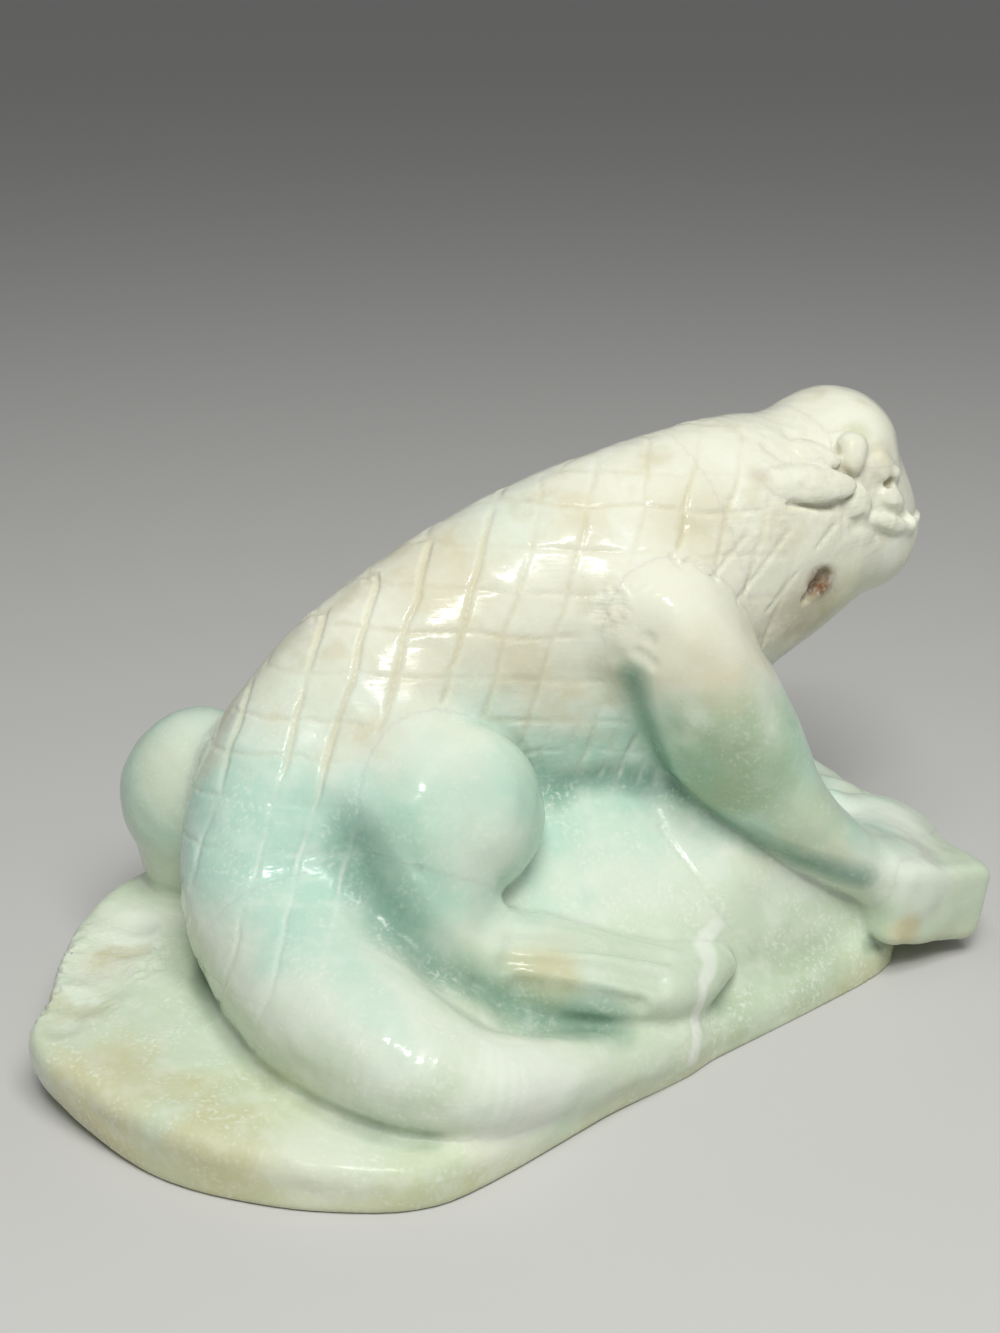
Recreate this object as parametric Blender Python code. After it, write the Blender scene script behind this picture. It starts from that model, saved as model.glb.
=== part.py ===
"""A carved stone lizard crouching on its rock.

Metres, +Z up. The animal looks along +X, its right side is on -Y, and the origin lies on the
rock's flat underside. The stone is one carving: it is split here along its carved creases, so
that every mass (rock, body, limbs, parts of the face) is a solid of its own. A smaller mass is
cut back by a copy of the larger one next to it, grown by CLEARANCE, and so seats on it.
"""

import math
from collections import namedtuple

import bmesh
import bpy
from mathutils import Matrix, Vector

MM = 0.001

# Size of the whole carving. The landmarks below are drawn for a block of DRAWN units, and
# stretched to these sizes.
LENGTH = 111.1 * MM
WIDTH = 66.1 * MM
HEIGHT = 64.6 * MM
DRAWN = (111.1, 66.1, 64.6)
STRETCH = (LENGTH / DRAWN[0], WIDTH / DRAWN[1], HEIGHT / DRAWN[2])
GIRTH_STRETCH = (STRETCH[0] + STRETCH[1]) / 2

# Seam between two neighbouring masses
CLEARANCE = 0.3 * MM

# Facets of the lofts
BODY_SIDES = 28
LIMB_SIDES = 20
DETAIL_SIDES = 14
STEPS = 3
DOME_STEPS = 4

# The rock: a rounded slab, with a faceted mound under the belly
SLAB_TAIL_HEIGHT = 9.4 * MM
SLAB_FORE_HEIGHT = 4.3 * MM
SLAB_SIDE_FALL = 0.06
SLAB_FALLS_FROM = 20
SLAB_EDGE_SHARE = 0.75
SLAB_EDGE_DEPTH = 3.5 * MM
SLAB_EDGE_STEPS = 4
MOUND_TOP = 45 * MM
MOUND_SETBACK = 1 * MM
OUTLINE_STEPS = 3
ROCK_OUTLINE = (
    (-47.5, 6), (-44.5, -2), (-37, -12.5), (-30, -18.5), (-23, -22.5), (-15, -25), (-7, -23.5),
    (12.5, -15.5), (36, -7), (51.5, 0), (55.5, 9), (54, 24), (38, 36), (15, 40), (-10, 41),
    (-28, 38), (-39, 28), (-44.5, 14),
)

# A flat face of the mound: a point on it and the way it looks
Facet = namedtuple("Facet", "point outward")
MOUND_FACETS = {
    "fore_slope": Facet((12, -8, 10), (0.24, -0.90, 0.36)),
    "foot_slope": Facet((14, 9, 24), (-0.03, -0.68, 0.73)),
    "crown": Facet((20, 14, 27.5), (0.32, -0.05, 0.94)),
    "fore_end": Facet((53, 5, 0), (0.95, -0.10, 0.25)),
    "back_slope": Facet((10, 40, 0), (0, 0.80, 0.60)),
    "tail_side": Facet((-14, 10, 10), (-0.80, 0, 0.60)),
}

# A section of a loft: its centre, and its reach upwards, sideways and downwards
Section = namedtuple("Section", "x y z top side bottom")

# A run of sections along a curve, and the curve's heading at each of them
Run = namedtuple("Run", "sections ways")


def round_section(x, y, z, top, side):
    return Section(x, y, z, top, side, top)


# One spine runs from the tip of the tail to the snout
SPINE = {
    "tail_tip": round_section(17, -10.5, 4, 1.8, 2.4),
    "tail_point": round_section(9, -14, 5.5, 2.6, 3.2),
    "tail_end": round_section(0.5, -17, 7, 3.6, 4.2),
    "tail_bend": round_section(-7, -18, 9, 5, 5.6),
    "tail_middle": round_section(-13.5, -14, 11, 6.6, 7.2),
    "tail_swell": round_section(-18.5, -4.5, 12.5, 7.8, 8.3),
    "tail_root": round_section(-20, 6.5, 15, 9, 9.2),
    "rump": round_section(-20, 13, 20, 10, 9.5),
    "hips": Section(-14.5, 18, 27.5, 11, 10.5, 12),
    "loins": Section(-5.5, 20.5, 34, 12.3, 11.5, 15.5),
    "back": Section(6.5, 21, 38.5, 14.8, 12.5, 19),
    "chest": Section(20, 20, 42.5, 16.5, 13, 22.5),
    "neck": Section(33, 20, 47.5, 14.8, 12.5, 18),
    "jaw": round_section(44, 21.5, 49, 13.5, 12),
    "snout": round_section(53.5, 23, 49.5, 10.2, 10.5),
}
TAIL_SEAM = "tail_root"
NECK_SEAM = "neck"
BELLY_SQUARENESS = 2.6

RIGHT_THIGH = (
    round_section(-12, 15, 25, 7, 7),
    round_section(-7, 9.5, 24, 9, 8.8),
    round_section(-1, 5, 26, 10, 9),
)
LEFT_THIGH = (
    round_section(-14, 21, 25, 7, 7),
    round_section(-19, 26.5, 21.5, 9, 8.5),
    round_section(-24, 31, 20.6, 10, 8.6),
)
RIGHT_HIND_FOOT = (
    round_section(-3.5, 3, 18.5, 5.2, 5.4),
    round_section(-1, -1.5, 13.8, 5.6, 6),
    round_section(5, -5, 12, 5.2, 6.2),
    round_section(12, -7.5, 10.5, 4.4, 6),
    round_section(19, -7.5, 9, 3.3, 5),
    round_section(26, -4.5, 8, 2, 3),
)
LEFT_HIND_FOOT = (
    round_section(-25, 32, 13, 6, 6),
    round_section(-14, 34, 10.5, 5.5, 6),
    round_section(-4, 35, 9.5, 4, 5.5),
)
RIGHT_FORELEG = (
    round_section(23.5, 13, 44, 7, 7),
    round_section(24.5, 8, 43, 7.4, 7),
    round_section(28, 5.5, 37.5, 7.4, 7),
    round_section(33, 4, 30, 7, 6.5),
    round_section(40, 2.5, 21.5, 5.4, 5.5),
    round_section(46.5, 2, 15.5, 4.6, 5.2),
    round_section(52, 2, 11.5, 4.2, 5.2),
)
LEFT_FORELEG = (
    round_section(22, 27, 43.5, 7, 7),
    round_section(23.5, 32, 42, 7.2, 7),
    round_section(28, 34, 35.5, 7.2, 6.8),
    round_section(36, 30.5, 26, 6.5, 6),
    round_section(46, 22.5, 16, 5, 5.5),
    round_section(52, 19, 12, 4.2, 5.2),
)

# A forefoot is a rounded block: its middle, size, and turn about Z and about its own width
Block = namedtuple("Block", "middle size turn pitch")
RIGHT_FOREFOOT = Block((55.5, 2, 7.8), (14, 11, 9), 10, 12)
LEFT_FOREFOOT = Block((54, 17, 10), (17, 12, 9), 10, 28)
FOREFOOT_ROUND = 2 * MM
FOREFOOT_ROUND_STEPS = 3

# The face, measured from the jaw's landmark: forward along the head, to its right, and upwards.
# A broad crest lies over both eyes, with an eyeball and a cheek ridge on each side.
BROW_MIDDLE = (9.1, 0, 10.2)
BROW_HALF = (6, 8, 5.4)
EYE_MIDDLE = (5.2, BROW_HALF[1] + 0.3, 9.6)
EYE_RADIUS = 1.9 * MM
CHEEK_RIDGE = (
    round_section(-8.4, 8.8, 8.7, 1.3, 1.3),
    round_section(-3.5, 9.9, 7.6, 1.8, 1.8),
    round_section(1.5, 9.8, 7.3, 2.3, 2.3),
)

# Colour and roughness of each part of the stone
Finish = namedtuple("Finish", "color roughness")
CREAM = Finish((0.80, 0.77, 0.66), 0.34)
PALE_AQUA = Finish((0.66, 0.77, 0.71), 0.30)
JADE_GREEN = Finish((0.47, 0.66, 0.56), 0.28)
MOSS = Finish((0.62, 0.69, 0.52), 0.38)


def metres(point):
    """A drawn place or size, stretched to the size of the carving."""
    return Vector([value * stretch for value, stretch in zip(point, STRETCH)])


def stretched(section):
    """A drawn section in metres, stretched to the size of the carving."""
    rise = STRETCH[2]
    return [*metres(section[:3]), section.top * rise, section.side * GIRTH_STRETCH, section.bottom * rise]


def between(before, start, end, after, share):
    """The Catmull-Rom point at this share of the way from start to end."""
    return 0.5 * (
        2 * start
        + (end - before) * share
        + (2 * before - 5 * start + 4 * end - after) * share**2
        + (3 * start - before - 3 * end + after) * share**3
    )


def smooth_sections(sections):
    """The sections with STEPS - 1 more between each pair, on one smooth curve."""
    rows = [stretched(section) for section in sections]
    first = [2 * a - b for a, b in zip(rows[0], rows[1])]
    last = [2 * a - b for a, b in zip(rows[-1], rows[-2])]
    rows = [first, *rows, last]
    smooth = []
    for index in range(1, len(rows) - 2):
        for step in range(STEPS):
            near = zip(*rows[index - 1 : index + 3])
            smooth.append(Section(*(between(*values, step / STEPS) for values in near)))
    smooth.append(Section(*rows[-2]))
    return smooth


def smooth_outline(points):
    """The closed outline with OUTLINE_STEPS - 1 more points between each pair."""
    corners = [metres((*point, 0)) for point in points]
    count = len(corners)
    return [
        between(*(corners[(index + shift) % count] for shift in (-1, 0, 1, 2)), step / OUTLINE_STEPS)
        for index in range(count)
        for step in range(OUTLINE_STEPS)
    ]


def new_object(name, shape):
    """An object from a bmesh, with its faces turned outwards."""
    bmesh.ops.recalc_face_normals(shape, faces=shape.faces)
    mesh = bpy.data.meshes.new(name)
    shape.to_mesh(mesh)
    shape.free()
    mesh.shade_smooth()
    mesh.set_sharp_from_angle(angle=math.radians(35))
    thing = bpy.data.objects.new(name, mesh)
    bpy.context.scene.collection.objects.link(thing)
    return thing


def hide(helper):
    helper.hide_render = True
    helper.display_type = "WIRE"
    return helper


def combine(thing, operation, helper):
    """Joins or cuts. A cut's faces can graze each other, where the exact solver leaves edges open."""
    modifier = thing.modifiers.new(f"{operation.lower()}_{helper.name}", "BOOLEAN")
    modifier.operation = operation
    modifier.solver = "MANIFOLD" if operation == "DIFFERENCE" else "EXACT"
    modifier.object = helper


def skin(name, rings, start_pole=None, end_pole=None):
    """A closed solid through rings of equal length; each end is a pole or a flat face."""
    shape = bmesh.new()
    loops = [[shape.verts.new(point) for point in ring] for ring in rings]
    count = len(loops[0])
    for lower, upper in zip(loops, loops[1:]):
        for index in range(count):
            after = (index + 1) % count
            shape.faces.new((lower[index], lower[after], upper[after], upper[index]))
    for loop, pole in ((loops[0], start_pole), (loops[-1], end_pole)):
        if pole is None:
            shape.faces.new(loop)
            continue
        tip = shape.verts.new(pole)
        for index in range(count):
            shape.faces.new((loop[index], loop[(index + 1) % count], tip))
    return new_object(name, shape)


def headings(sections):
    """The unit direction of the curve through the sections' middles, at each of them."""
    middles = [Vector(section[:3]) for section in sections]
    ends = zip([middles[0], *middles[:-1]], [*middles[1:], middles[-1]])
    return [(after - before).normalized() for before, after in ends]


def loft(name, run, sides, grow=0.0, low=2.0, round_start=True, round_end=True):
    """A solid through a run of sections. Below its middle a section's power is low, above it is 2."""
    sections, ways = run
    middles = [Vector(section[:3]) for section in sections]

    def frame(index):
        along = ways[index]
        side = along.cross(Vector((0, 0, 1))).normalized()
        return along, side, side.cross(along)

    def ring(index, shift=0.0, scale=1.0):
        along, side, up = frame(index)
        section = sections[index]
        points = []
        for step in range(sides):
            angle = 2 * math.pi * step / sides
            across, rise = math.cos(angle), math.sin(angle)
            power = 2 / (2.0 if rise >= 0 else low)
            height = section.top if rise >= 0 else section.bottom
            across = math.copysign(abs(across) ** power, across) * (section.side + grow) * scale
            rise = math.copysign(abs(rise) ** power, rise) * (height + grow) * scale
            points.append(middles[index] + along * shift + side * across + up * rise)
        return points

    def dome(index, way):
        """Rings that close round an end, and its pole."""
        reach = min(sections[index].top, sections[index].side) + grow
        turns = [math.pi / 2 * step / DOME_STEPS for step in range(1, DOME_STEPS)]
        rings = [ring(index, way * reach * math.sin(turn), math.cos(turn)) for turn in turns]
        return rings, middles[index] + frame(index)[0] * reach * way

    last = len(sections) - 1
    rings = [ring(index) for index in range(1, last)]
    start_pole = end_pole = None
    if round_start:
        closing, start_pole = dome(0, -1)
        rings = [*reversed(closing), ring(0), *rings]
    else:
        rings.insert(0, ring(0, -grow))
    if round_end:
        closing, end_pole = dome(last, 1)
        rings += [ring(last), *closing]
    else:
        rings.append(ring(last, grow))
    return skin(name, rings, start_pole, end_pole)


def rock_base(name, grow=0.0):
    """The rounded slab, joined with the mound under the belly."""
    outline = smooth_outline(ROCK_OUTLINE)
    middle = sum(outline, Vector()) / len(outline)
    tail_end, fore_end = (end(point.x for point in outline) for end in (min, max))

    def slab_height(point):
        """The slab's height, which falls evenly from the tail end to the fore end, and to the right."""
        share = (point.x - tail_end) / (fore_end - tail_end)
        side = point.y - metres((0, SLAB_FALLS_FROM, 0)).y
        fall = (SLAB_FORE_HEIGHT - SLAB_TAIL_HEIGHT) * share
        return SLAB_TAIL_HEIGHT + fall + SLAB_SIDE_FALL * side

    def level(height, setback):
        """The outline lifted by a height for each point, and drawn in towards its middle."""
        drawn = [p + (middle - p).normalized() * (setback - grow) for p in outline]
        return [p + Vector((0, 0, height(p))) for p in drawn]

    turns = [math.pi / 2 * step / SLAB_EDGE_STEPS for step in range(SLAB_EDGE_STEPS + 1)]
    rings = [level(lambda point: -grow, 0)]
    for turn in turns:
        share = 1 - SLAB_EDGE_SHARE * (1 - math.sin(turn))
        setback = SLAB_EDGE_DEPTH * (1 - math.cos(turn))
        rings.append(level(lambda point: share * slab_height(point) + grow, setback))
    slab = skin(name, rings)

    mound = bmesh.new()
    walls = [level(lambda point: height, MOUND_SETBACK) for height in (MOUND_SETBACK, MOUND_TOP)]
    corners = [[mound.verts.new(point) for point in ring] for ring in walls]
    for ring in corners:
        mound.faces.new(ring)
    for index in range(len(outline)):
        after = (index + 1) % len(outline)
        mound.faces.new((corners[0][index], corners[0][after], corners[1][after], corners[1][index]))
    bmesh.ops.recalc_face_normals(mound, faces=mound.faces)
    for facet in MOUND_FACETS.values():
        outward = Vector([way / stretch for way, stretch in zip(facet.outward, STRETCH)]).normalized()
        cut = bmesh.ops.bisect_plane(
            mound,
            geom=[*mound.verts, *mound.edges, *mound.faces],
            plane_co=metres(facet.point) + outward * grow,
            plane_no=outward,
            clear_outer=True,
        )
        rim = [part for part in cut["geom_cut"] if isinstance(part, bmesh.types.BMEdge)]
        bmesh.ops.contextual_create(mound, geom=rim)
    combine(slab, "UNION", hide(new_object(f"{name}_mound", mound)))
    return slab


def spine_run(start, end):
    """The smooth sections from one landmark of the spine to another, with their headings."""
    landmarks = list(SPINE)
    part = slice(landmarks.index(start) * STEPS, landmarks.index(end) * STEPS + 1)
    sections = smooth_sections(SPINE.values())
    return Run(sections[part], headings(sections)[part])


def set_back(run):
    """The run with its first section moved on by CLEARANCE, which opens a seam."""
    first = run.sections[0]
    moved = Vector(first[:3]) + run.ways[0] * CLEARANCE
    return Run([first._replace(x=moved.x, y=moved.y, z=moved.z), *run.sections[1:]], run.ways)


def whole_body(name, grow=0.0):
    """Tail, torso and head without their seams, to cut what lies against them."""
    return loft(name, spine_run("tail_tip", "snout"), BODY_SIDES, grow, BELLY_SQUARENESS)


def tail(name, grow=0.0):
    run = spine_run("tail_tip", TAIL_SEAM)
    return loft(name, run, BODY_SIDES, grow, BELLY_SQUARENESS, round_end=False)


def torso(name, grow=0.0):
    run = set_back(spine_run(TAIL_SEAM, NECK_SEAM))
    return loft(name, run, BODY_SIDES, grow, BELLY_SQUARENESS, round_start=False, round_end=False)


def head(name, grow=0.0):
    run = set_back(spine_run(NECK_SEAM, "snout"))
    return loft(name, run, BODY_SIDES, grow, BELLY_SQUARENESS, round_start=False)


def limb(sections):
    """A function that lofts this limb."""
    smooth = smooth_sections(sections)
    return lambda name, grow=0.0: loft(name, Run(smooth, headings(smooth)), LIMB_SIDES, grow)


def forefoot(block):
    """A function that makes this rounded block, its toes tipped down."""

    def build(name, grow=0.0):
        size = Matrix.Diagonal([*(side + 2 * grow for side in metres(block.size)), 1])
        turn = Matrix.Rotation(math.radians(block.turn), 4, "Z")
        pitch = Matrix.Rotation(math.radians(block.pitch), 4, "Y")
        place = Matrix.Translation(metres(block.middle)) @ turn @ pitch
        shape = bmesh.new()
        bmesh.ops.create_cube(shape, size=1, matrix=size)
        bmesh.ops.bevel(
            shape,
            geom=shape.edges[:],
            offset=FOREFOOT_ROUND,
            segments=FOREFOOT_ROUND_STEPS,
            profile=0.5,
            affect="EDGES",
        )
        bmesh.ops.transform(shape, matrix=place, verts=shape.verts)
        return new_object(name, shape)

    return build


def head_frame():
    """Turns a place on the face into a place in space."""
    jaw, snout = (metres(SPINE[landmark][:3]) for landmark in ("jaw", "snout"))
    upward = Vector((0, 0, 1))
    right = (snout - jaw).cross(upward).normalized()
    axes = Matrix((upward.cross(right), right, upward)).transposed()
    return Matrix.Translation(jaw) @ axes.to_4x4()


def on_face(place, side):
    """A place on the face in space; side is 1 for the right and -1 for the left."""
    forward, outward, upward = place
    return head_frame() @ Vector((forward, outward * side, upward))


def brow_crest(name, grow=0.0):
    shape = bmesh.new()
    bmesh.ops.create_uvsphere(shape, u_segments=LIMB_SIDES, v_segments=LIMB_SIDES // 2, radius=1)
    size = Matrix.Diagonal([*(half + grow for half in metres(BROW_HALF)), 1])
    place = head_frame() @ Matrix.Translation(metres(BROW_MIDDLE)) @ size
    bmesh.ops.transform(shape, matrix=place, verts=shape.verts)
    return new_object(name, shape)


def eye(side):
    """A function that makes the eyeball of this side."""

    def build(name, grow=0.0):
        shape = bmesh.new()
        place = Matrix.Translation(on_face(metres(EYE_MIDDLE), side))
        bmesh.ops.create_uvsphere(
            shape,
            u_segments=DETAIL_SIDES,
            v_segments=DETAIL_SIDES // 2,
            radius=EYE_RADIUS + grow,
            matrix=place,
        )
        return new_object(name, shape)

    return build


def cheek_ridge(side):
    """A function that lofts the cheek ridge of this side."""

    def build(name, grow=0.0):
        sections = []
        for section in smooth_sections(CHEEK_RIDGE):
            middle = on_face(section[:3], side)
            sections.append(section._replace(x=middle.x, y=middle.y, z=middle.z))
        return loft(name, Run(sections, headings(sections)), DETAIL_SIDES, grow)

    return build


# Each mass: how it is made, what cuts it back, and its finish
Mass = namedtuple("Mass", "make cut_by finish")
MASSES = {
    "rock_base": Mass(rock_base, (), MOSS),
    "torso": Mass(torso, ("rock_base",), CREAM),
    "tail": Mass(tail, ("rock_base",), PALE_AQUA),
    "head": Mass(head, (), CREAM),
    "right_thigh": Mass(limb(RIGHT_THIGH), ("rock_base", "body"), JADE_GREEN),
    "left_thigh": Mass(limb(LEFT_THIGH), ("rock_base", "body"), PALE_AQUA),
    "right_hind_foot": Mass(limb(RIGHT_HIND_FOOT), ("rock_base", "body", "right_thigh"), JADE_GREEN),
    "left_hind_foot": Mass(limb(LEFT_HIND_FOOT), ("rock_base", "body", "left_thigh"), JADE_GREEN),
    "right_foreleg": Mass(limb(RIGHT_FORELEG), ("rock_base", "body"), JADE_GREEN),
    "left_foreleg": Mass(limb(LEFT_FORELEG), ("rock_base", "body"), JADE_GREEN),
    "right_forefoot": Mass(forefoot(RIGHT_FOREFOOT), ("rock_base", "right_foreleg"), PALE_AQUA),
    "left_forefoot": Mass(forefoot(LEFT_FOREFOOT), ("rock_base", "left_foreleg"), PALE_AQUA),
    "brow_crest": Mass(brow_crest, ("body",), CREAM),
    "right_eye": Mass(eye(1), ("body", "brow_crest"), CREAM),
    "left_eye": Mass(eye(-1), ("body", "brow_crest"), CREAM),
    "right_cheek_ridge": Mass(cheek_ridge(1), ("body", "brow_crest", "right_eye"), CREAM),
    "left_cheek_ridge": Mass(cheek_ridge(-1), ("body", "brow_crest", "left_eye"), CREAM),
}
CUTTERS = {"body": whole_body, **{name: mass.make for name, mass in MASSES.items()}}


def stone(name, finish):
    material = bpy.data.materials.new(f"{name}_stone")
    material.use_nodes = True
    shader = material.node_tree.nodes["Principled BSDF"]
    shader.inputs["Base Color"].default_value = (*finish.color, 1)
    shader.inputs["Roughness"].default_value = finish.roughness
    shader.inputs["Metallic"].default_value = 0
    return material


def main():
    for thing in list(bpy.data.objects):
        bpy.data.objects.remove(thing)
    cutters = {}
    for name, mass in MASSES.items():
        solid = mass.make(name)
        solid.data.materials.append(stone(name, mass.finish))
        for larger in mass.cut_by:
            if larger not in cutters:
                cutters[larger] = hide(CUTTERS[larger](f"cutter_{larger}", CLEARANCE))
            combine(solid, "DIFFERENCE", cutters[larger])


main()
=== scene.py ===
"""The looks of a carved stone lizard on its rock.

The whole carving is one distance field, in millimetres: swept body, limbs and rock, blended where
the stone runs on and creased where the carver set a mass off, with the pits, cuts and chips taken
out of it. A net of cells turns the field into one mesh, a node tree cuts the scales into it, and
the mesh is then split into its masses, each closed by the wall that it shares with its neighbour.
"""

import math
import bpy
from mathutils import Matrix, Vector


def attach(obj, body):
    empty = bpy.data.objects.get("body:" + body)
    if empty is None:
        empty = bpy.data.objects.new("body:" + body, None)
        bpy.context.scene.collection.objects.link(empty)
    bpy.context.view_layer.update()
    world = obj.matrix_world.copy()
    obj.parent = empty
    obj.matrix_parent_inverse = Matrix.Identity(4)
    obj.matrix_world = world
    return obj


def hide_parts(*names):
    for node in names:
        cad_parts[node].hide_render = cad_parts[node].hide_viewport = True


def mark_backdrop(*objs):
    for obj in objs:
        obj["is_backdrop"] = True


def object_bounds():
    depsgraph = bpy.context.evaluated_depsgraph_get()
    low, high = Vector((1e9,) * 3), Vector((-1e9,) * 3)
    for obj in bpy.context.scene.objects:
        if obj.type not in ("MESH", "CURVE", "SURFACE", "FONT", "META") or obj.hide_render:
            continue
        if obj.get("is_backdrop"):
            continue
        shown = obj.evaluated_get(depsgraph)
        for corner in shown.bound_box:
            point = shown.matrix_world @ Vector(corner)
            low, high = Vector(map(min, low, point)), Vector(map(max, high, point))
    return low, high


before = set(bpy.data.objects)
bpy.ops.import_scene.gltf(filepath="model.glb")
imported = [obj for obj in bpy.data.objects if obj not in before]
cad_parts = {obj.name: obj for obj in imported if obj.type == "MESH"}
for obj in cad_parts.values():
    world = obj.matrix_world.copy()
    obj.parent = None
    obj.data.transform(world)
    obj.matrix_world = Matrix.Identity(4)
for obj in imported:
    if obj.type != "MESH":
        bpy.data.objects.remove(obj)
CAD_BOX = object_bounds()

from concurrent.futures import ThreadPoolExecutor

import bmesh
import bpy
import numpy as np
from bpy.props import FloatProperty, FloatVectorProperty, IntProperty, PointerProperty
from mathutils import Matrix, Vector

bl_info = {
    "name": "Carved Stone Lizard",
    "version": (1, 0, 0),
    "blender": (4, 5, 0),
    "location": "3D View > Sidebar > Lizard",
    "description": "Carves a banded stone lizard on its rock and sets it on a studio floor",
    "category": "Add Mesh",
}

MM = 0.001
BODY = "root"

# The camera of the photograph, which also places the small carving by its pixels
PHOTO_SIZE = (1000, 1333)
LENS_MM = 50
SENSOR_MM = 36
CAMERA_AZIMUTH = math.radians(-20)
CAMERA_PITCH = math.radians(22)
CAMERA_REACH = 205
ORIGIN_PIXEL = (480, 1045)
PIXEL_SLOPE = SENSOR_MM / LENS_MM / max(PHOTO_SIZE)

# One spine runs from the tip of the tail to the snout: place, and reach up, sideways and down
SPINE = {
    "tail_tip": (17, -10.5, 4, 1.8, 2.4, 1.8),
    "tail_point": (9, -14, 5.5, 2.6, 3.2, 2.6),
    "tail_end": (0.5, -17, 7, 3.6, 4.2, 3.6),
    "tail_bend": (-7, -18, 9, 5, 5.6, 5),
    "tail_middle": (-13.5, -14, 11, 6.6, 7.2, 6.6),
    "tail_swell": (-18.5, -4.5, 12.5, 7.8, 8.3, 7.8),
    "tail_root": (-20, 6.5, 15, 9, 9.2, 9),
    "rump": (-20, 13, 20, 10, 9.5, 10),
    "hips": (-14.5, 18, 27.5, 11, 10.5, 12),
    "loins": (-5.5, 20.5, 34, 12.3, 11.5, 15.5),
    "back": (6.5, 21, 38.5, 14.8, 12.5, 19),
    "chest": (20, 20, 42.5, 16.5, 13, 22.5),
    "neck": (33, 20, 47.5, 14.8, 12.5, 18),
    "jaw": (44, 21.5, 49, 13.5, 12, 13.5),
    "snout": (52.6, 23, 49.5, 10.2, 10.5, 9.8),
}
TAIL_SEAM = "tail_root"
NECK_SEAM = "neck"
BELLY_SQUARENESS = 2.6
STEPS = 8

RIGHT_FORELEG = (
    (23.5, 13, 44, 7, 7, 7),
    (24.5, 8, 43, 7.4, 7, 7.4),
    (28, 5.5, 37.5, 7.4, 7, 8),
    (33, 4, 30, 6.6, 6.5, 8.4),
    (39.4, 2.5, 21.2, 4.2, 5.5, 6.2),
    (46, 2, 15, 3.6, 5.2, 4.6),
    (52, 2, 11.3, 3.8, 5.2, 4.2),
)
LEFT_FORELEG = (
    (22, 27, 43.5, 7, 7, 7),
    (23.5, 32, 42, 7.2, 7, 7.2),
    (28, 34, 35.5, 7.2, 6.8, 7.2),
    (36, 30.5, 26, 6.5, 6, 6.5),
    (46, 22.5, 16, 5, 5.5, 5),
    (52, 19, 12, 4.2, 5.2, 4.2),
)
RIGHT_HIND_FOOT = (
    (-4.5, 4, 23, 6.5, 6.5, 6.5),
    (-4, 0.5, 17, 6.4, 6.4, 6.4),
    (-0.5, -2.5, 13.2, 5.6, 6, 5.6),
    (5, -5, 12, 5.2, 6.2, 5.2),
    (12, -7.5, 10.5, 4.2, 6, 4.6),
    (19, -7.5, 9, 3.2, 5, 3.4),
    (26, -4.5, 8, 2, 3, 2),
)
LEFT_HIND_FOOT = (
    (-25, 32, 13, 6, 6, 6),
    (-14, 34, 10.5, 5.5, 6, 5.5),
    (-4, 35, 9.5, 4, 5.5, 4),
)

# Rounded masses: middle, and half of each side
RIGHT_HAUNCH = ((-11, 12, 21), (9.5, 10, 12))
LEFT_HAUNCH = ((-16, 26, 20), (9.5, 9, 12))
RIGHT_THIGH = ((-1, 5, 26.2), (9.8, 8.5, 10.2))
LEFT_THIGH = ((-23.5, 31, 20.8), (9.3, 8.5, 10.3))
# Flat worked faces: a point, and the way out of the stone
THIGH_FACE = ((-2.4, 1.0, 34.9), (-0.05, -0.85, 0.5))
LEG_FACE = ((21.3, 3.2, 46.8), (-0.60, -0.72, 0.30))
# Stone left standing between masses: middle, and half of each side
BELLY_WEB = ((25.5, 10.8, 25), (5, 3.5, 5))
ROCK_WEBS = (
    ((-4, -10, 5.5), (11, 5.5, 5.5)), ((-9, -10, 10), (6, 5, 4.6)),
    ((29, 7, 22), (3.6, 3.4, 3.6)), ((33.5, 5.6, 18), (3.6, 3.4, 3.6)),
)
FOREFOOT_WEB = ((53, 10.5, 11.5), (9, 7, 4.3))
# The hollow that the rock leaves round the near foreleg: its width, slope inwards and blend
LEG_COVE = (0.15, 0.6, 1.0)

# Forefeet: middle, half of each side, and tip of the toes; the tip and the turn about Z in degrees
FOREFEET = {
    "right_forefoot": ((55.3, 2, 8.2), (7.4, 5.6, 5.0), -12),
    "left_forefoot": ((54, 17, 10), (8.5, 6, 4.5), -28),
}
FOREFOOT_TURN = 10
FOREFOOT_ROUND = 1.8

# The face, from the jaw's landmark: forward along the head, to its right, and upwards
BROW = ((8.6, 0, 10.2), (6.6, 8.0, 5.4))

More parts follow.
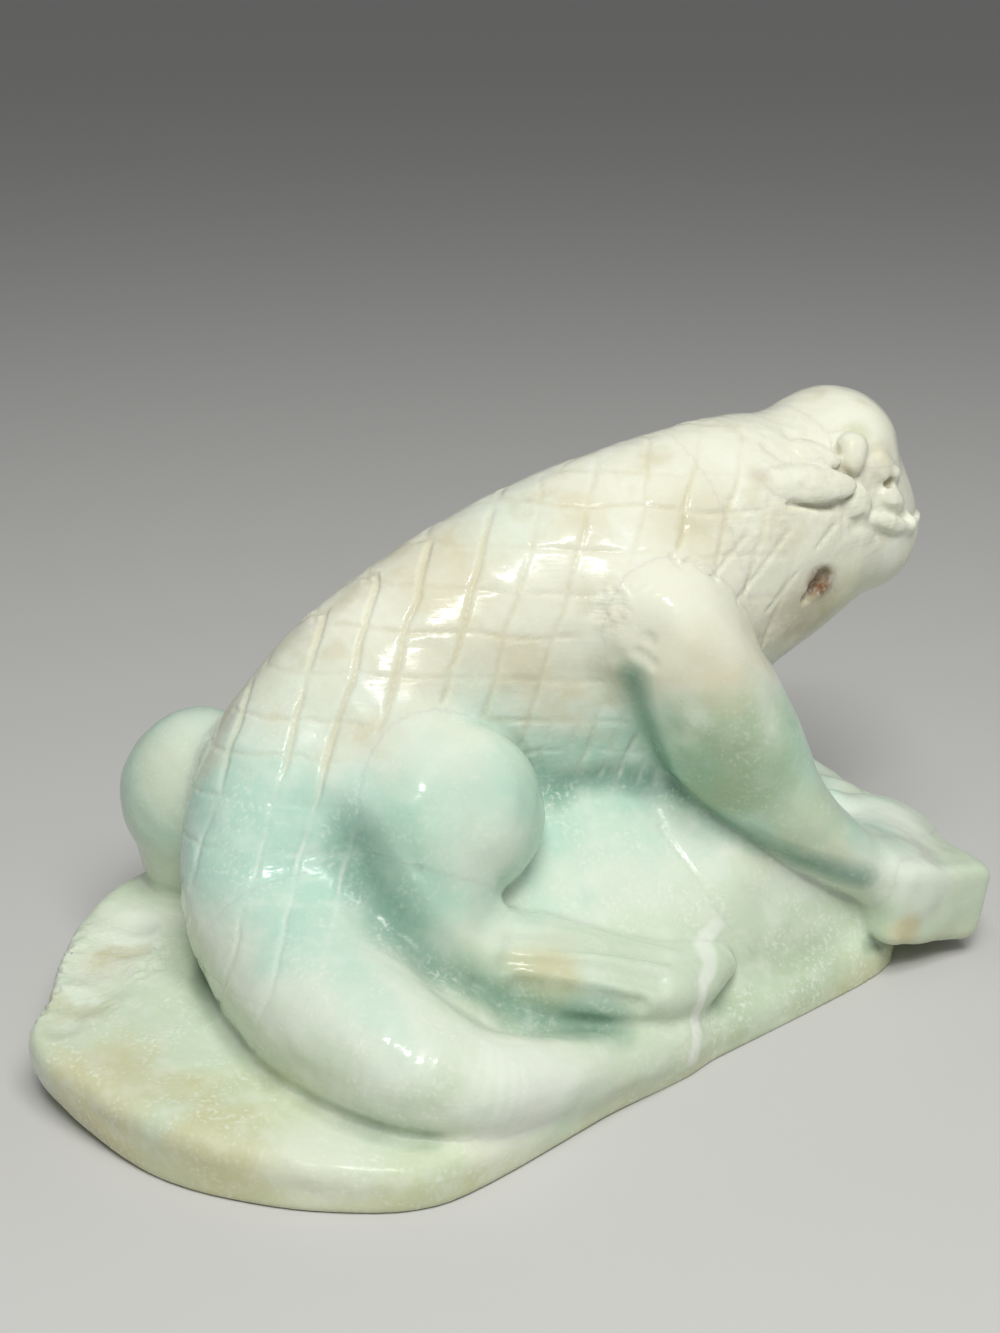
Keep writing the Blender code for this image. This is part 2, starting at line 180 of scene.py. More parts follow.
# The rock: its outline on the ground, the slope of its top, and the flat faces of its mound
ROCK_OUTLINE = (
    (-47.5, 6), (-44.5, -2), (-37, -12.5), (-30, -18.5), (-23, -22.5), (-15, -25), (-7, -23.5),
    (12.5, -15.5), (36, -7), (51.5, 0), (55.5, 9), (54, 24), (38, 36), (15, 40), (-10, 41),
    (-28, 38), (-39, 28), (-44.5, 14),
)
ROCK_TOP = ((-47, 20, 9.4), (0.05, -0.06, 1))
ROCK_EDGE_ROUND = 2.4
ROCK_FOOT_ROUND = 0.8
ROCK_NOSE = ((-45, 1, 1.5), (-0.70, -0.20, -0.69))
ROCK_NOSE_ROUND = 2
ROCK_OUTLINE_STEPS = 4
MOUND_INSET = 0.3
MOUND_BLEND = 3
MOUND_FACES = (
    ((12, -8, 10), (0.24, -0.90, 0.36), 1.5),
    ((14, 9, 24), (-0.03, -0.68, 0.73), 1.5),
    ((20, 14, 27.5), (0.32, -0.05, 0.94), 3),
    ((53, 5, 0), (0.95, -0.10, 0.25), 3),
    ((10, 40, 0), (0, 0.80, 0.60), 4),
    ((-14, 10, 10), (-0.80, 0, 0.60), 4),
)

# How far two masses blend where they meet, or the least of it and what it gains
PLAIN_BLEND = 2.0
WEB_BLEND = 3
FACET_BLEND = 0.6
HAUNCH_BLEND = 5
BROW_BLEND = 5.0
FOREFOOT_BLEND = 3.0
SHOULDER_BLEND = (2.0, 3)
THIGH_BLEND = (1.6, 8)
KNEE_BLEND = (1.6, 6)
ROCK_BLEND = (1.9, 3.5)
ROCK_BLEND_LOSS = 0.9
# Where such a blend gains or loses: the way to the thigh's rear, and the places between which it does
SHOULDER_HEIGHTS = (34, 44)
THIGH_REAR = (-0.8, 0, 0.35)
THIGH_REAR_SHARES = (-0.1, 0.8)
THIGH_HEIGHTS = (25, 32)
KNEE_RUN = (2, -4)
TAIL_RUN_OUT = ((0, 18), (-6, -11), (20, 12))
ROCK_FRONT_RUN = (22, 30)

# Small carving, by the pixels of the photograph that it lies on
EYE = (852, 447)
EYE_SIZE = 1.9
EYE_LOBE = (850, 464)
EYE_LOBE_SIZE = 1.45
EYE_LOBE_BLEND = 1.2
FAR_EYE_DROP = 1.8
# Plates of the face: pixel, half of the length, height and thickness, turn in the picture, and lift
# of the end that points to the snout
FACE_PLATES = {
    "cheek_ridge": (806, 484, 6.2, 2.2, 1.3, 4, 9),
    "lid": (812, 453, 3.4, 1.9, 0.9, -12, 8),
    "mouth_corner": (858, 503, 2.1, 1.9, 0.9, 0, 0),
    "upper_lip": (892, 500, 2.1, 1.6, 0.9, -35, 0),
    "lower_lip": (888, 523, 3.2, 1.4, 0.9, -10, 0),
    "nose": (882, 468, 2.2, 1.7, 0.9, -30, 0),
}
# Plates that only the near side has
NEAR_PLATES = ("lid",)
FACE_BUMPS = ((908, 524, 1.2), (893, 473, 0.9))
# Cuts of the face: how far the middle of the cut lies above the stone, and its path
FACE_CUTS = {
    "lid": (0.35, ((836, 452), (838, 440), (846, 432), (858, 429), (868, 436), (873, 452))),
    "under_cheek": (-0.3, ((790, 504), (806, 505), (820, 507), (834, 506))),
    "mouth": (0.35, ((872, 492), (880, 508), (893, 511), (905, 517))),
    "lower_lip": (0.35, ((853, 528), (868, 527), (882, 534), (895, 538))),
    "brow_edge": (0.35, ((795, 434), (815, 440), (836, 448))),
}
JAW_CUTS = (
    ((713, 577), (729, 557), (745, 538)),
    ((737, 600), (762, 568), (790, 530)),
    ((768, 610), (800, 568), (836, 524)),
)
NOSTRIL = (887, 482, 0.8)
JAW_PIT = ((823, 579, 1.25), (815, 588, 1.15), (806, 598, 0.7))
NECK_CRACK = ((672, 556), (682, 566), (691, 560), (703, 571), (716, 579))
# Scoops left by chips: pixel, reach across and depth
CHIPS = (
    (648, 640, 1.0, 0.35), (640, 655, 1.1, 0.45), (652, 664, 0.8, 0.3), (418, 872, 0.7, 0.25),
    (95, 965, 4.5, 0.9), (118, 946, 4.0, 0.8), (78, 1000, 3.5, 0.8), (58, 1022, 3.0, 0.6),
    (134, 925, 3.0, 0.6), (105, 985, 3.0, 0.5), (598, 612, 1.2, 0.3), (618, 604, 1.0, 0.25),
    (790, 434, 0.9, 0.3), (768, 446, 0.9, 0.3), (858, 525, 0.9, 0.35),
)
CHIP_SPREAD = 1.5
TOE_GROOVES = (
    ((515, 941), (590, 944), (665, 955)),
    ((508, 962), (590, 968), (660, 982)),
    ((520, 985), (585, 995), (640, 1006)),
)
# Ends of the grooves on the far feet, which the photograph does not show, above the stone
FAR_TOE_GROOVES = (
    ((-9, 33.5, 22), (0, 33.8, 22)), ((-9.5, 36.5, 22), (0, 37, 22)), ((-11, 39, 22), (-3, 39.3, 22)),
    ((50, 14.3, 25), (60.5, 16.1, 25)), ((50, 18.3, 25), (60, 20.1, 25)),
)
MOUND_CRACK = ((659, 826), (700, 880), (728, 922), (757, 957))
# Cuts and cracks: reach, and the blend of their edges
GROOVES = {
    "face_cut": (0.35, 0.7),
    "jaw_cut": (0.2, 0.3),
    "neck_crack": (0.35, 0.4),
    "toe_groove": (0.7, 1.6),
    "mound_crack": (0.22, 0.3),
}
GROOVE_STEPS = 5
CARVED_BLEND = {"plate": 0.6, "bump": 0.7, "eye": 0.25, "nostril": 0.4, "jaw_pit": 0.35, "chip": 0.25}
# Stone left raw: pixel, reach and how raw it is
RAW_PATCHES = (
    (875, 508, 6, 0.35), (800, 458, 8, 0.3), (845, 500, 7, 0.3), (760, 520, 7, 0.3),
    (105, 955, 8, 1.0), (75, 1000, 6, 1.0), (610, 608, 3, 0.7),
)
RAW_DEPTH = 0.2
FLAKE_SHARE = 0.6
# Unevenness of the stone: seed and length of the waves
RAW_WAVES = (7, 2.2)
FLAKE_WAVES = (11, 1.1)
SLOW_WAVES = (8, 9.0)
TOOL_WAVES = (9, 3.2)
SLOW_SWELL = 0.06
TOOL_SWELL = 0.025
SWELL_HEIGHTS = (0.5, 2.5)

# Bands of the stone, by the height at which each colour is at its strongest, in millimetres
BANDS = (
    (0, "moss"), (6, "pale_green"), (11, "pale_green"), (16, "ice"), (22, "aqua"), (29, "aqua"),
    (34, "ice"), (39, "beige"), (47, "cream"), (66, "cream"),
)
# Patches of colour, some of them painted shade: pixel of the photograph, reach in millimetres, colour and
# strength
PATCHES = {
    "rim_ochre": ((100, 1095), 12, "ochre", 0.42),
    "rim_left": ((62, 1060), 8, "ochre", 0.3),
    "rim_corner": ((205, 1155), 8, "ochre", 0.3),
    "rim_yellow": ((300, 1185), 14, "moss", 0.25),
    "rim_skin": ((100, 962), 7, "tan", 0.6),
    "rim_pale": ((330, 1150), 8, "crystal", 0.45),
    # Painted shade on the rock's lower right face, which turns away from the light, partly olive stone
    "base_olive_and_shade": ((800, 960), 9, "sage", 0.5),
    "base_shade": ((740, 1005), 9, "sage", 0.35),
    "rump_aqua": ((255, 815), 13, "aqua", 0.7),
    "rump_ice": ((300, 690), 10, "ice", 0.6),
    "thigh_teal": ((440, 850), 8, "jade", 0.15),
    "thigh_cap": ((450, 770), 6, "ice", 0.4),
    "thigh_right": ((485, 850), 7, "ice", 0.7),
    "mound_ice": ((615, 855), 12, "ice", 0.45),
    "base_pale": ((545, 1085), 12, "crystal", 0.75),
    "far_base": ((140, 925), 8, "crystal", 0.6),
    "far_forefoot": ((875, 812), 9, "crystal", 0.6),
    "near_forefoot": ((925, 885), 8, "crystal", 0.5),
    "foot_ochre": ((550, 985), 6, "ochre", 0.5),
    "forefoot_rust": ((905, 930), 3.4, "ochre", 0.6),
    "foreleg_low": ((805, 838), 9, "moss", 0.5),
    # Green of the foreleg, laid darker on its lower side as painted shade where it turns away from the
    # light
    "foreleg_mid": ((705, 780), 8, "sage", 0.6),
    "foreleg_green_and_shade": ((735, 765), 10, "sage", 0.8),
    "foreleg_olive_and_shade": ((690, 765), 5, "jade", 0.6),
    "far_thigh": ((170, 780), 10, "beige", 0.6),
    "back_ice": ((500, 520), 9, "ice", 0.6),
    "shoulder_tan": ((690, 665), 6, "tan", 0.2),
    "elbow_tan": ((730, 690), 4, "tan", 0.3),
    "back_tan": ((440, 570), 9, "tan", 0.4),
    "ridge_tan": ((585, 520), 6, "tan", 0.3),
    "neck_ochre": ((690, 520), 8, "tan", 0.35),
    "cheek_rose": ((760, 478), 2.2, "rust", 0.25),
    # Painted shade on the underside of the jaw, partly olive stone
    "jaw_olive_and_shade": ((835, 605), 8, "moss", 0.6),
    "jaw_shade": ((808, 612), 7, "bark", 0.45),
    "jaw_brown": ((820, 582), 2.9, "rust", 1.0),
    # Painted shade in the recess above the eye, partly olive stone
    "eye_olive_and_shade": ((858, 436), 2.4, "moss", 0.6),
    "cheek_tan": ((838, 484), 2.2, "tan", 0.4),
    "nostril_brown": ((887, 482), 1.0, "rust", 0.6),
}
# Dark green bands of painted shade, partly the green of the stone: reach in millimetres and the pixels of
# a path along the band
SHADES = {
    "valley": (
        5.8,
        ((358, 842), (376, 890), (404, 936), (438, 970), (480, 993), (530, 1009), (600, 1023)),
    ),
    "leg_edge": (
        3.2,
        ((634, 676), (651, 732), (675, 779), (708, 808), (754, 838), (808, 863), (861, 878)),
    ),
    "belly": (3.5, ((552, 795), (575, 780), (612, 773), (646, 778))),
}
VEIN = ((718, 925), (704, 985), (692, 1062))

MASSES = (
    "rock_base", "torso", "tail", "head", "brow_crest", "right_eye", "left_eye",
    "right_cheek_ridge", "left_cheek_ridge", "right_thigh", "left_thigh", "right_hind_foot",
    "left_hind_foot", "right_foreleg", "left_foreleg", "right_forefoot", "left_forefoot",
)
SPINE_MASSES = ("torso", "tail", "head")
SIDES = ("right", "left")

# Measuring: a form further off than CULL is only known to be FAR, in millimetres
FAR = 30.0
CULL = 7.0
ENDLESS = 1e9
TINY = 1e-9
LEAST = 1e-12
# Shares of a form's size that count as its middle, and that are safe to divide by
MIDDLE_SHARE = 1e-3
SAFE_SHARE = 1e-6
OUTLINE_STEP = 0.4
OUTLINE_MARGIN = 12
SLOPE_STEP = 0.2
WAVE_COUNT = 24
WAVE_SPREAD = (0.6, 1.6)
# Sight lines: share of the camera's reach to start at, steps, stride, shortest and longest leap
SIGHT_START = 0.6
SIGHT_STEPS = 80
SIGHT_STRIDE = 0.8
SIGHT_LEAPS = (-2, 4)
SIGHT_MISS = 0.3
DROP_POINTS = 10
DROP_STEPS = 60
DROP_STRIDE = 0.7


def unit(vector):
    """The vector with a length of 1."""
    vector = np.asarray(vector, float)
    return vector / np.linalg.norm(vector)


def ease(low, high, value):
    """0 below low, 1 above high, and a smooth step between; low may be the larger."""
    share = np.clip((value - low) / (high - low), 0, 1)
    return share * share * (3 - 2 * share)


def joined(first, second, reach):
    """The union of two distances, blended over this reach."""
    share = np.clip(0.5 + 0.5 * (second - first) / reach, 0, 1)
    return second * (1 - share) + first * share - reach * share * (1 - share)


def common(first, second, reach):
    """What two forms share, with its edge blended over this reach."""
    return -joined(-first, -second, reach)


def gained(blend, share):
    """A blend's reach at this share of its gain."""
    least, gain = blend
    return least + gain * share


def smooth_rows(rows, steps, closed=False):
    """The rows with more between each pair, on one Catmull-Rom curve."""
    rows = np.asarray(rows, float)
    if closed:
        rows = np.vstack([rows[-1:], rows, rows[:2]])
    else:
        rows = np.vstack([2 * rows[0] - rows[1], rows, 2 * rows[-1] - rows[-2]])
    share = np.linspace(0, 1, steps, endpoint=False)[:, None]
    runs = []
    for before, start, end, after in zip(rows, rows[1:], rows[2:], rows[3:]):
        runs.append(0.5 * (
            2 * start
            + (end - before) * share
            + (2 * before - 5 * start + 4 * end - after) * share**2
            + (3 * start - before - 3 * end + after) * share**3
        ))
    return np.vstack(runs if closed else [*runs, rows[-2:-1]])


def near_box(points, low, high, measure):
    """The distance where a point is near this box, and just a large one elsewhere."""
    close = np.all((points > np.asarray(low) - CULL) & (points < np.asarray(high) + CULL), axis=1)
    found = np.full(len(points), FAR)
    if close.any():
        found[close] = measure(points[close])
    return found


class Sweep:
    """A body or limb swept along a curve, with its own reach up, sideways and down at each place."""

    def __init__(self, stations, low=2.0):
        rows = smooth_rows(list(stations), STEPS)
        self.middle = rows[:, :3]
        self.top, self.side, self.bottom = rows[:, 3:].T
        self.low = low
        run = np.gradient(self.middle, axis=0)
        self.way = run / np.linalg.norm(run, axis=1)[:, None]
        rise = np.array([0, 0, 1]) - self.way[:, 2:] * self.way
        self.rise = rise / np.linalg.norm(rise, axis=1)[:, None]
        self.across = np.cross(self.way, self.rise)
        steps = np.linalg.norm(np.diff(self.middle, axis=0), axis=1)
        self.length = np.concatenate([[0], np.cumsum(steps)])

    def locate(self, points):
        """Distance from the surface, and length along the curve."""
        middle = self.middle
        nearest = np.argmin((middle**2).sum(1)[None] - 2 * points @ middle.T, axis=1)
        best = None
        for shift in (-1, 0):
            index = np.clip(nearest + shift, 0, len(middle) - 2)
            start = middle[index]
            leg = middle[index + 1] - start
            share = np.clip(((points - start) * leg).sum(1) / (leg * leg).sum(1), 0, 1)
            gap = ((points - start - share[:, None] * leg) ** 2).sum(1)
            if best is None:
                best, first, part = gap, index, share
            else:
                closer = gap < best
                first = np.where(closer, index, first)
                part = np.where(closer, share, part)

        def here(values):
            weight = part if values.ndim == 1 else part[:, None]
            return values[first] * (1 - weight) + values[first + 1] * weight

        offset = points - here(middle)
        up = (offset * here(self.rise)).sum(1)
        aside = (offset * here(self.across)).sum(1)
        ahead = (offset * here(self.way)).sum(1)
        side = here(self.side)
        height = np.where(up > 0, here(self.top), here(self.bottom))
        end = np.minimum(height, side)
        power = np.where(up > 0, 2.0, self.low)
        shares = [np.abs(up) / height, np.abs(aside) / side, np.abs(ahead) / end]
        size = sum(share**power for share in shares) ** (1 / power)
        safe = np.maximum(size, SAFE_SHARE)
        reaches = (height, side, end)
        slopes = [(share / safe) ** (power - 1) / reach for share, reach in zip(shares, reaches)]
        slope = np.sqrt(sum(value**2 for value in slopes)) + TINY
        distance = np.where(size > MIDDLE_SHARE, (size - 1) / slope, -end)
        return distance, here(self.length)

    def __call__(self, points):
        reach = max(self.top.max(), self.side.max(), self.bottom.max())
        low, high = self.middle.min(0) - reach, self.middle.max(0) + reach
        return near_box(points, low, high, lambda close: self.locate(close)[0])


def ellipsoid(points, middle, half, axes=np.eye(3)):
    middle, half = np.asarray(middle, float), np.asarray(half, float)

    def measure(close):
        offset = (close - middle) @ np.asarray(axes).T
        size = np.sqrt(((offset / half) ** 2).sum(1))
        slope = np.sqrt(((offset / half**2) ** 2).sum(1)) + TINY
        return np.where(size > MIDDLE_SHARE, (size - 1) * size / slope, -half.min())

    return near_box(points, middle - half.max(), middle + half.max(), measure)


def ball(points, middle, size):
    return ellipsoid(points, middle, (size, size, size))


def block(points, middle, half, axes, edge):
    """A box whose edges are rounded over this reach."""
    middle = np.asarray(middle, float)

    def measure(close):
        reach = np.abs((close - middle) @ axes.T) - half
        return common(common(reach[:, 0], reach[:, 1], edge), reach[:, 2], edge)

    size = np.linalg.norm(half)
    return near_box(points, middle - size, middle + size, measure)


def plane(points, point, outward):
    """Distance above a plane through a point."""
    return (points - np.asarray(point, float)) @ unit(outward)


def inside_outline(points, outline):
    """Distance on the ground from a closed outline, worked out in full and negative inside it."""
    flat = points[:, :2]
    gap = np.full(len(points), ENDLESS)
    inside = np.zeros(len(points), bool)
    for start, end in zip(outline, np.roll(outline, -1, axis=0)):
        leg = end - start
        share = np.clip((flat - start) @ leg / (leg @ leg), 0, 1)
        gap = np.minimum(gap, ((flat - start - share[:, None] * leg) ** 2).sum(1))
        spans = (start[1] > flat[:, 1]) != (end[1] > flat[:, 1])
        crossing = leg[0] * (flat[:, 1] - start[1]) / (leg[1] + LEAST) + start[0]
        inside ^= spans & (flat[:, 0] < crossing)
    return np.where(inside, -1, 1) * np.sqrt(gap)


class Outline:
    """Distance on the ground from a closed outline, read from a table of it."""

    def __init__(self, outline):
        self.low = outline.min(0) - OUTLINE_MARGIN
        size = outline.max(0) + OUTLINE_MARGIN - self.low
        self.count = np.ceil(size / OUTLINE_STEP).astype(int) + 1
        places = np.stack(np.meshgrid(*map(np.arange, self.count), indexing="ij"), -1)
        places = self.low + places.reshape(-1, 2) * OUTLINE_STEP
        self.table = inside_outline(places, outline).reshape(self.count)

    def __call__(self, points):
        place = np.clip((points[:, :2] - self.low) / OUTLINE_STEP, 0, self.count - 1.001)
        first = place.astype(int)
        x, y = (place - first).T
        i, j = first.T
        near = self.table[i, j] * (1 - x) + self.table[i + 1, j] * x
        far = self.table[i, j + 1] * (1 - x) + self.table[i + 1, j + 1] * x
        return near * (1 - y) + far * y


def path_distance(points, path):
    """Distance from a run of straight legs."""
    path = np.asarray(path, float)

    def measure(close):
        gap = np.full(len(close), ENDLESS)
        for start, end in zip(path, path[1:]):
            leg = end - start
            share = np.clip((close - start) @ leg / (leg @ leg), 0, 1)
            gap = np.minimum(gap, ((close - start - share[:, None] * leg) ** 2).sum(1))
        return np.sqrt(gap)

    return near_box(points, path.min(0), path.max(0), measure)


class Waves:
    """Soft unevenness: a sum of plane waves of about one length."""

    def __init__(self, seed, length):
        draw = np.random.default_rng(seed)
        ways = draw.normal(size=(WAVE_COUNT, 3))
        ways /= np.linalg.norm(ways, axis=1)[:, None]
        self.ways = ways * (2 * np.pi / (length * draw.uniform(*WAVE_SPREAD, (WAVE_COUNT, 1))))
        self.starts = draw.uniform(0, 2 * np.pi, WAVE_COUNT)
        self.share = math.sqrt(2 / WAVE_COUNT)

    def __call__(self, points):
        return np.sin(points @ self.ways.T + self.starts).sum(1) * self.share


def camera_axes():
    """The camera's right, up and back, and its place in millimetres."""
    flat = math.cos(CAMERA_PITCH)
    back = np.array([
        math.sin(CAMERA_AZIMUTH) * flat,
        -math.cos(CAMERA_AZIMUTH) * flat,
        math.sin(CAMERA_PITCH),
    ])
    right = np.array([math.cos(CAMERA_AZIMUTH), math.sin(CAMERA_AZIMUTH), 0])
    up = np.cross(back, right)
    pixel = PIXEL_SLOPE * CAMERA_REACH
    shift = right * (ORIGIN_PIXEL[0] - PHOTO_SIZE[0] / 2) + up * (PHOTO_SIZE[1] / 2 - ORIGIN_PIXEL[1])
    return right, up, back, back * CAMERA_REACH - shift * pixel


class Stone:
    """The carving's distance field. Its parts are in millimetres, and the inside is negative."""

    def __init__(self):
        self.body = Sweep(SPINE.values(), BELLY_SQUARENESS)
        self.limbs = {
            "right_foreleg": Sweep(RIGHT_FORELEG),
            "left_foreleg": Sweep(LEFT_FORELEG),
            "right_hind_foot": Sweep(RIGHT_HIND_FOOT),
            "left_hind_foot": Sweep(LEFT_HIND_FOOT),
        }
        names = list(SPINE)
        self.tail_seam = self.body.length[names.index(TAIL_SEAM) * STEPS]
        self.neck_seam = self.body.length[names.index(NECK_SEAM) * STEPS]
        self.outline = Outline(smooth_rows(ROCK_OUTLINE, ROCK_OUTLINE_STEPS, closed=True))
        self.feet = {
            name: (middle, half, turned(FOREFOOT_TURN, tip))
            for name, (middle, half, tip) in FOREFEET.items()
        }
        jaw, snout = (np.array(SPINE[name][:3]) for name in ("jaw", "snout"))
        right = unit(np.cross(snout - jaw, (0, 0, 1)))
        self.face_axes = np.array([np.cross((0, 0, 1), right), right, (0, 0, 1)])
        self.face_start = jaw
        self.detail = Detail(self)

    def mirrored(self, points):
        """The points on the other side of the head's middle plane."""
        points = np.asarray(points, float)
        right = self.face_axes[1]
        return points - 2 * ((points - self.face_start) @ right)[:, None] * right

    def rock(self, points):
        """The slab of the rock, and its mound."""
        edge = self.outline(points)
        ground = -points[:, 2]
        slab = common(edge, plane(points, *ROCK_TOP), ROCK_EDGE_ROUND)
        slab = common(slab, ground, ROCK_FOOT_ROUND)
        slab = common(slab, plane(points, *ROCK_NOSE), ROCK_NOSE_ROUND)
        mound = edge + MOUND_INSET
        for point, outward, reach in MOUND_FACES:
            mound = common(mound, plane(points, point, outward), reach)
        return joined(slab, common(mound, ground, ROCK_FOOT_ROUND), MOUND_BLEND)

    def masses(self, points):
        """The distance from each mass by itself, and the place along the spine."""
        body, along = self.body.locate(points)
        for haunch in (RIGHT_HAUNCH, LEFT_HAUNCH):
            body = joined(body, ellipsoid(points, *haunch), HAUNCH_BLEND)
        found = {"body": joined(body, ellipsoid(points, *BELLY_WEB), WEB_BLEND)}
        brow, half = BROW
        place = self.face_start + np.array(brow) @ self.face_axes
        found["brow_crest"] = ellipsoid(points, place, half, self.face_axes)
        thigh = ellipsoid(points, *RIGHT_THIGH)
        found["right_thigh"] = common(thigh, plane(points, *THIGH_FACE), FACET_BLEND)
        found["left_thigh"] = ellipsoid(points, *LEFT_THIGH)
        for name, limb in self.limbs.items():
            found[name] = limb(points)
        leg = common(found["right_foreleg"], plane(points, *LEG_FACE), FACET_BLEND)
        found["right_foreleg"] = leg
        for name, foot in self.feet.items():
            found[name] = block(points, *foot, FOREFOOT_ROUND)
        bridge = ellipsoid(points, *FOREFOOT_WEB)
        found["left_forefoot"] = joined(found["left_forefoot"], bridge, PLAIN_BLEND)
        rock = self.rock(points)
        for web in ROCK_WEBS:
            rock = joined(rock, ellipsoid(points, *web), WEB_BLEND)
        width, slope, blend = LEG_COVE
        cove = width - leg - slope * np.maximum(0, -rock)
        found["rock_base"] = common(rock, cove, blend)
        return found, along

    def blended(self, found, points):
        """One surface from the masses, sharp in the creases and soft where the stone runs on."""
        x, _, z = points.T
        middle, half = (np.array(values) for values in RIGHT_THIGH)
        rearward = ((points - middle) / half) @ THIGH_REAR
        behind = ease(*THIGH_REAR_SHARES, rearward) * ease(*THIGH_HEIGHTS, z)
        shoulder = gained(SHOULDER_BLEND, ease(*SHOULDER_HEIGHTS, z))
        least, gain = ROCK_BLEND
        running_out = math.prod(ease(*run, place) for run, place in zip(TAIL_RUN_OUT, points.T))
        rock = least - ROCK_BLEND_LOSS * ease(*ROCK_FRONT_RUN, x) + gain * running_out
        blends = {
            "brow_crest": BROW_BLEND,
            "right_foreleg": shoulder,
            "left_foreleg": shoulder,
            "right_thigh": gained(THIGH_BLEND, behind),
            "left_thigh": PLAIN_BLEND,
            "right_hind_foot": gained(KNEE_BLEND, ease(*KNEE_RUN, x)),
            "left_hind_foot": PLAIN_BLEND,
            "right_forefoot": FOREFOOT_BLEND,
            "left_forefoot": FOREFOOT_BLEND,
            "rock_base": rock,
        }
        whole = found["body"]
        for name, reach in blends.items():
            whole = joined(whole, found[name], reach)
        return np.maximum(whole, -z)

    def smooth(self, points):
        """The stone before its small carving."""
        found, _ = self.masses(points)
        return self.blended(found, points)

    def measure(self, points):
        """Distance, mass, and by how much each point belongs to its mass."""
        found, along = self.masses(points)
        whole = self.detail.carve(self.blended(found, points), points, found)
        order = [name for name in MASSES if name not in SPINE_MASSES]
        table = np.stack([found["body"], *(found[name] for name in order)])
        first = table.argmin(0)
        pair = np.partition(table, 1, axis=0)[:2]
        margin = pair[1] - pair[0]
        index = np.array([0, *(MASSES.index(name) for name in order)])[first]
        spine = np.where(along < self.tail_seam, MASSES.index("tail"), MASSES.index("torso"))
        spine = np.where(along > self.neck_seam, MASSES.index("head"), spine)
        seam = np.minimum(np.abs(along - self.tail_seam), np.abs(along - self.neck_seam))
        own = first == 0
        index = np.where(own, spine, index)
        return whole, index, np.where(own, np.minimum(margin, seam), margin)


def turned(turn, tip):
    """Rows are the forward, left and up of a block turned about Z and tipped, in degrees."""
    turn, tip = np.radians([turn, tip])
    forward = np.array([np.cos(turn) * np.cos(tip), np.sin(turn) * np.cos(tip), np.sin(tip)])
    left = np.array([-np.sin(turn), np.cos(turn), 0])
    return np.array([forward, left, np.cross(forward, left)])


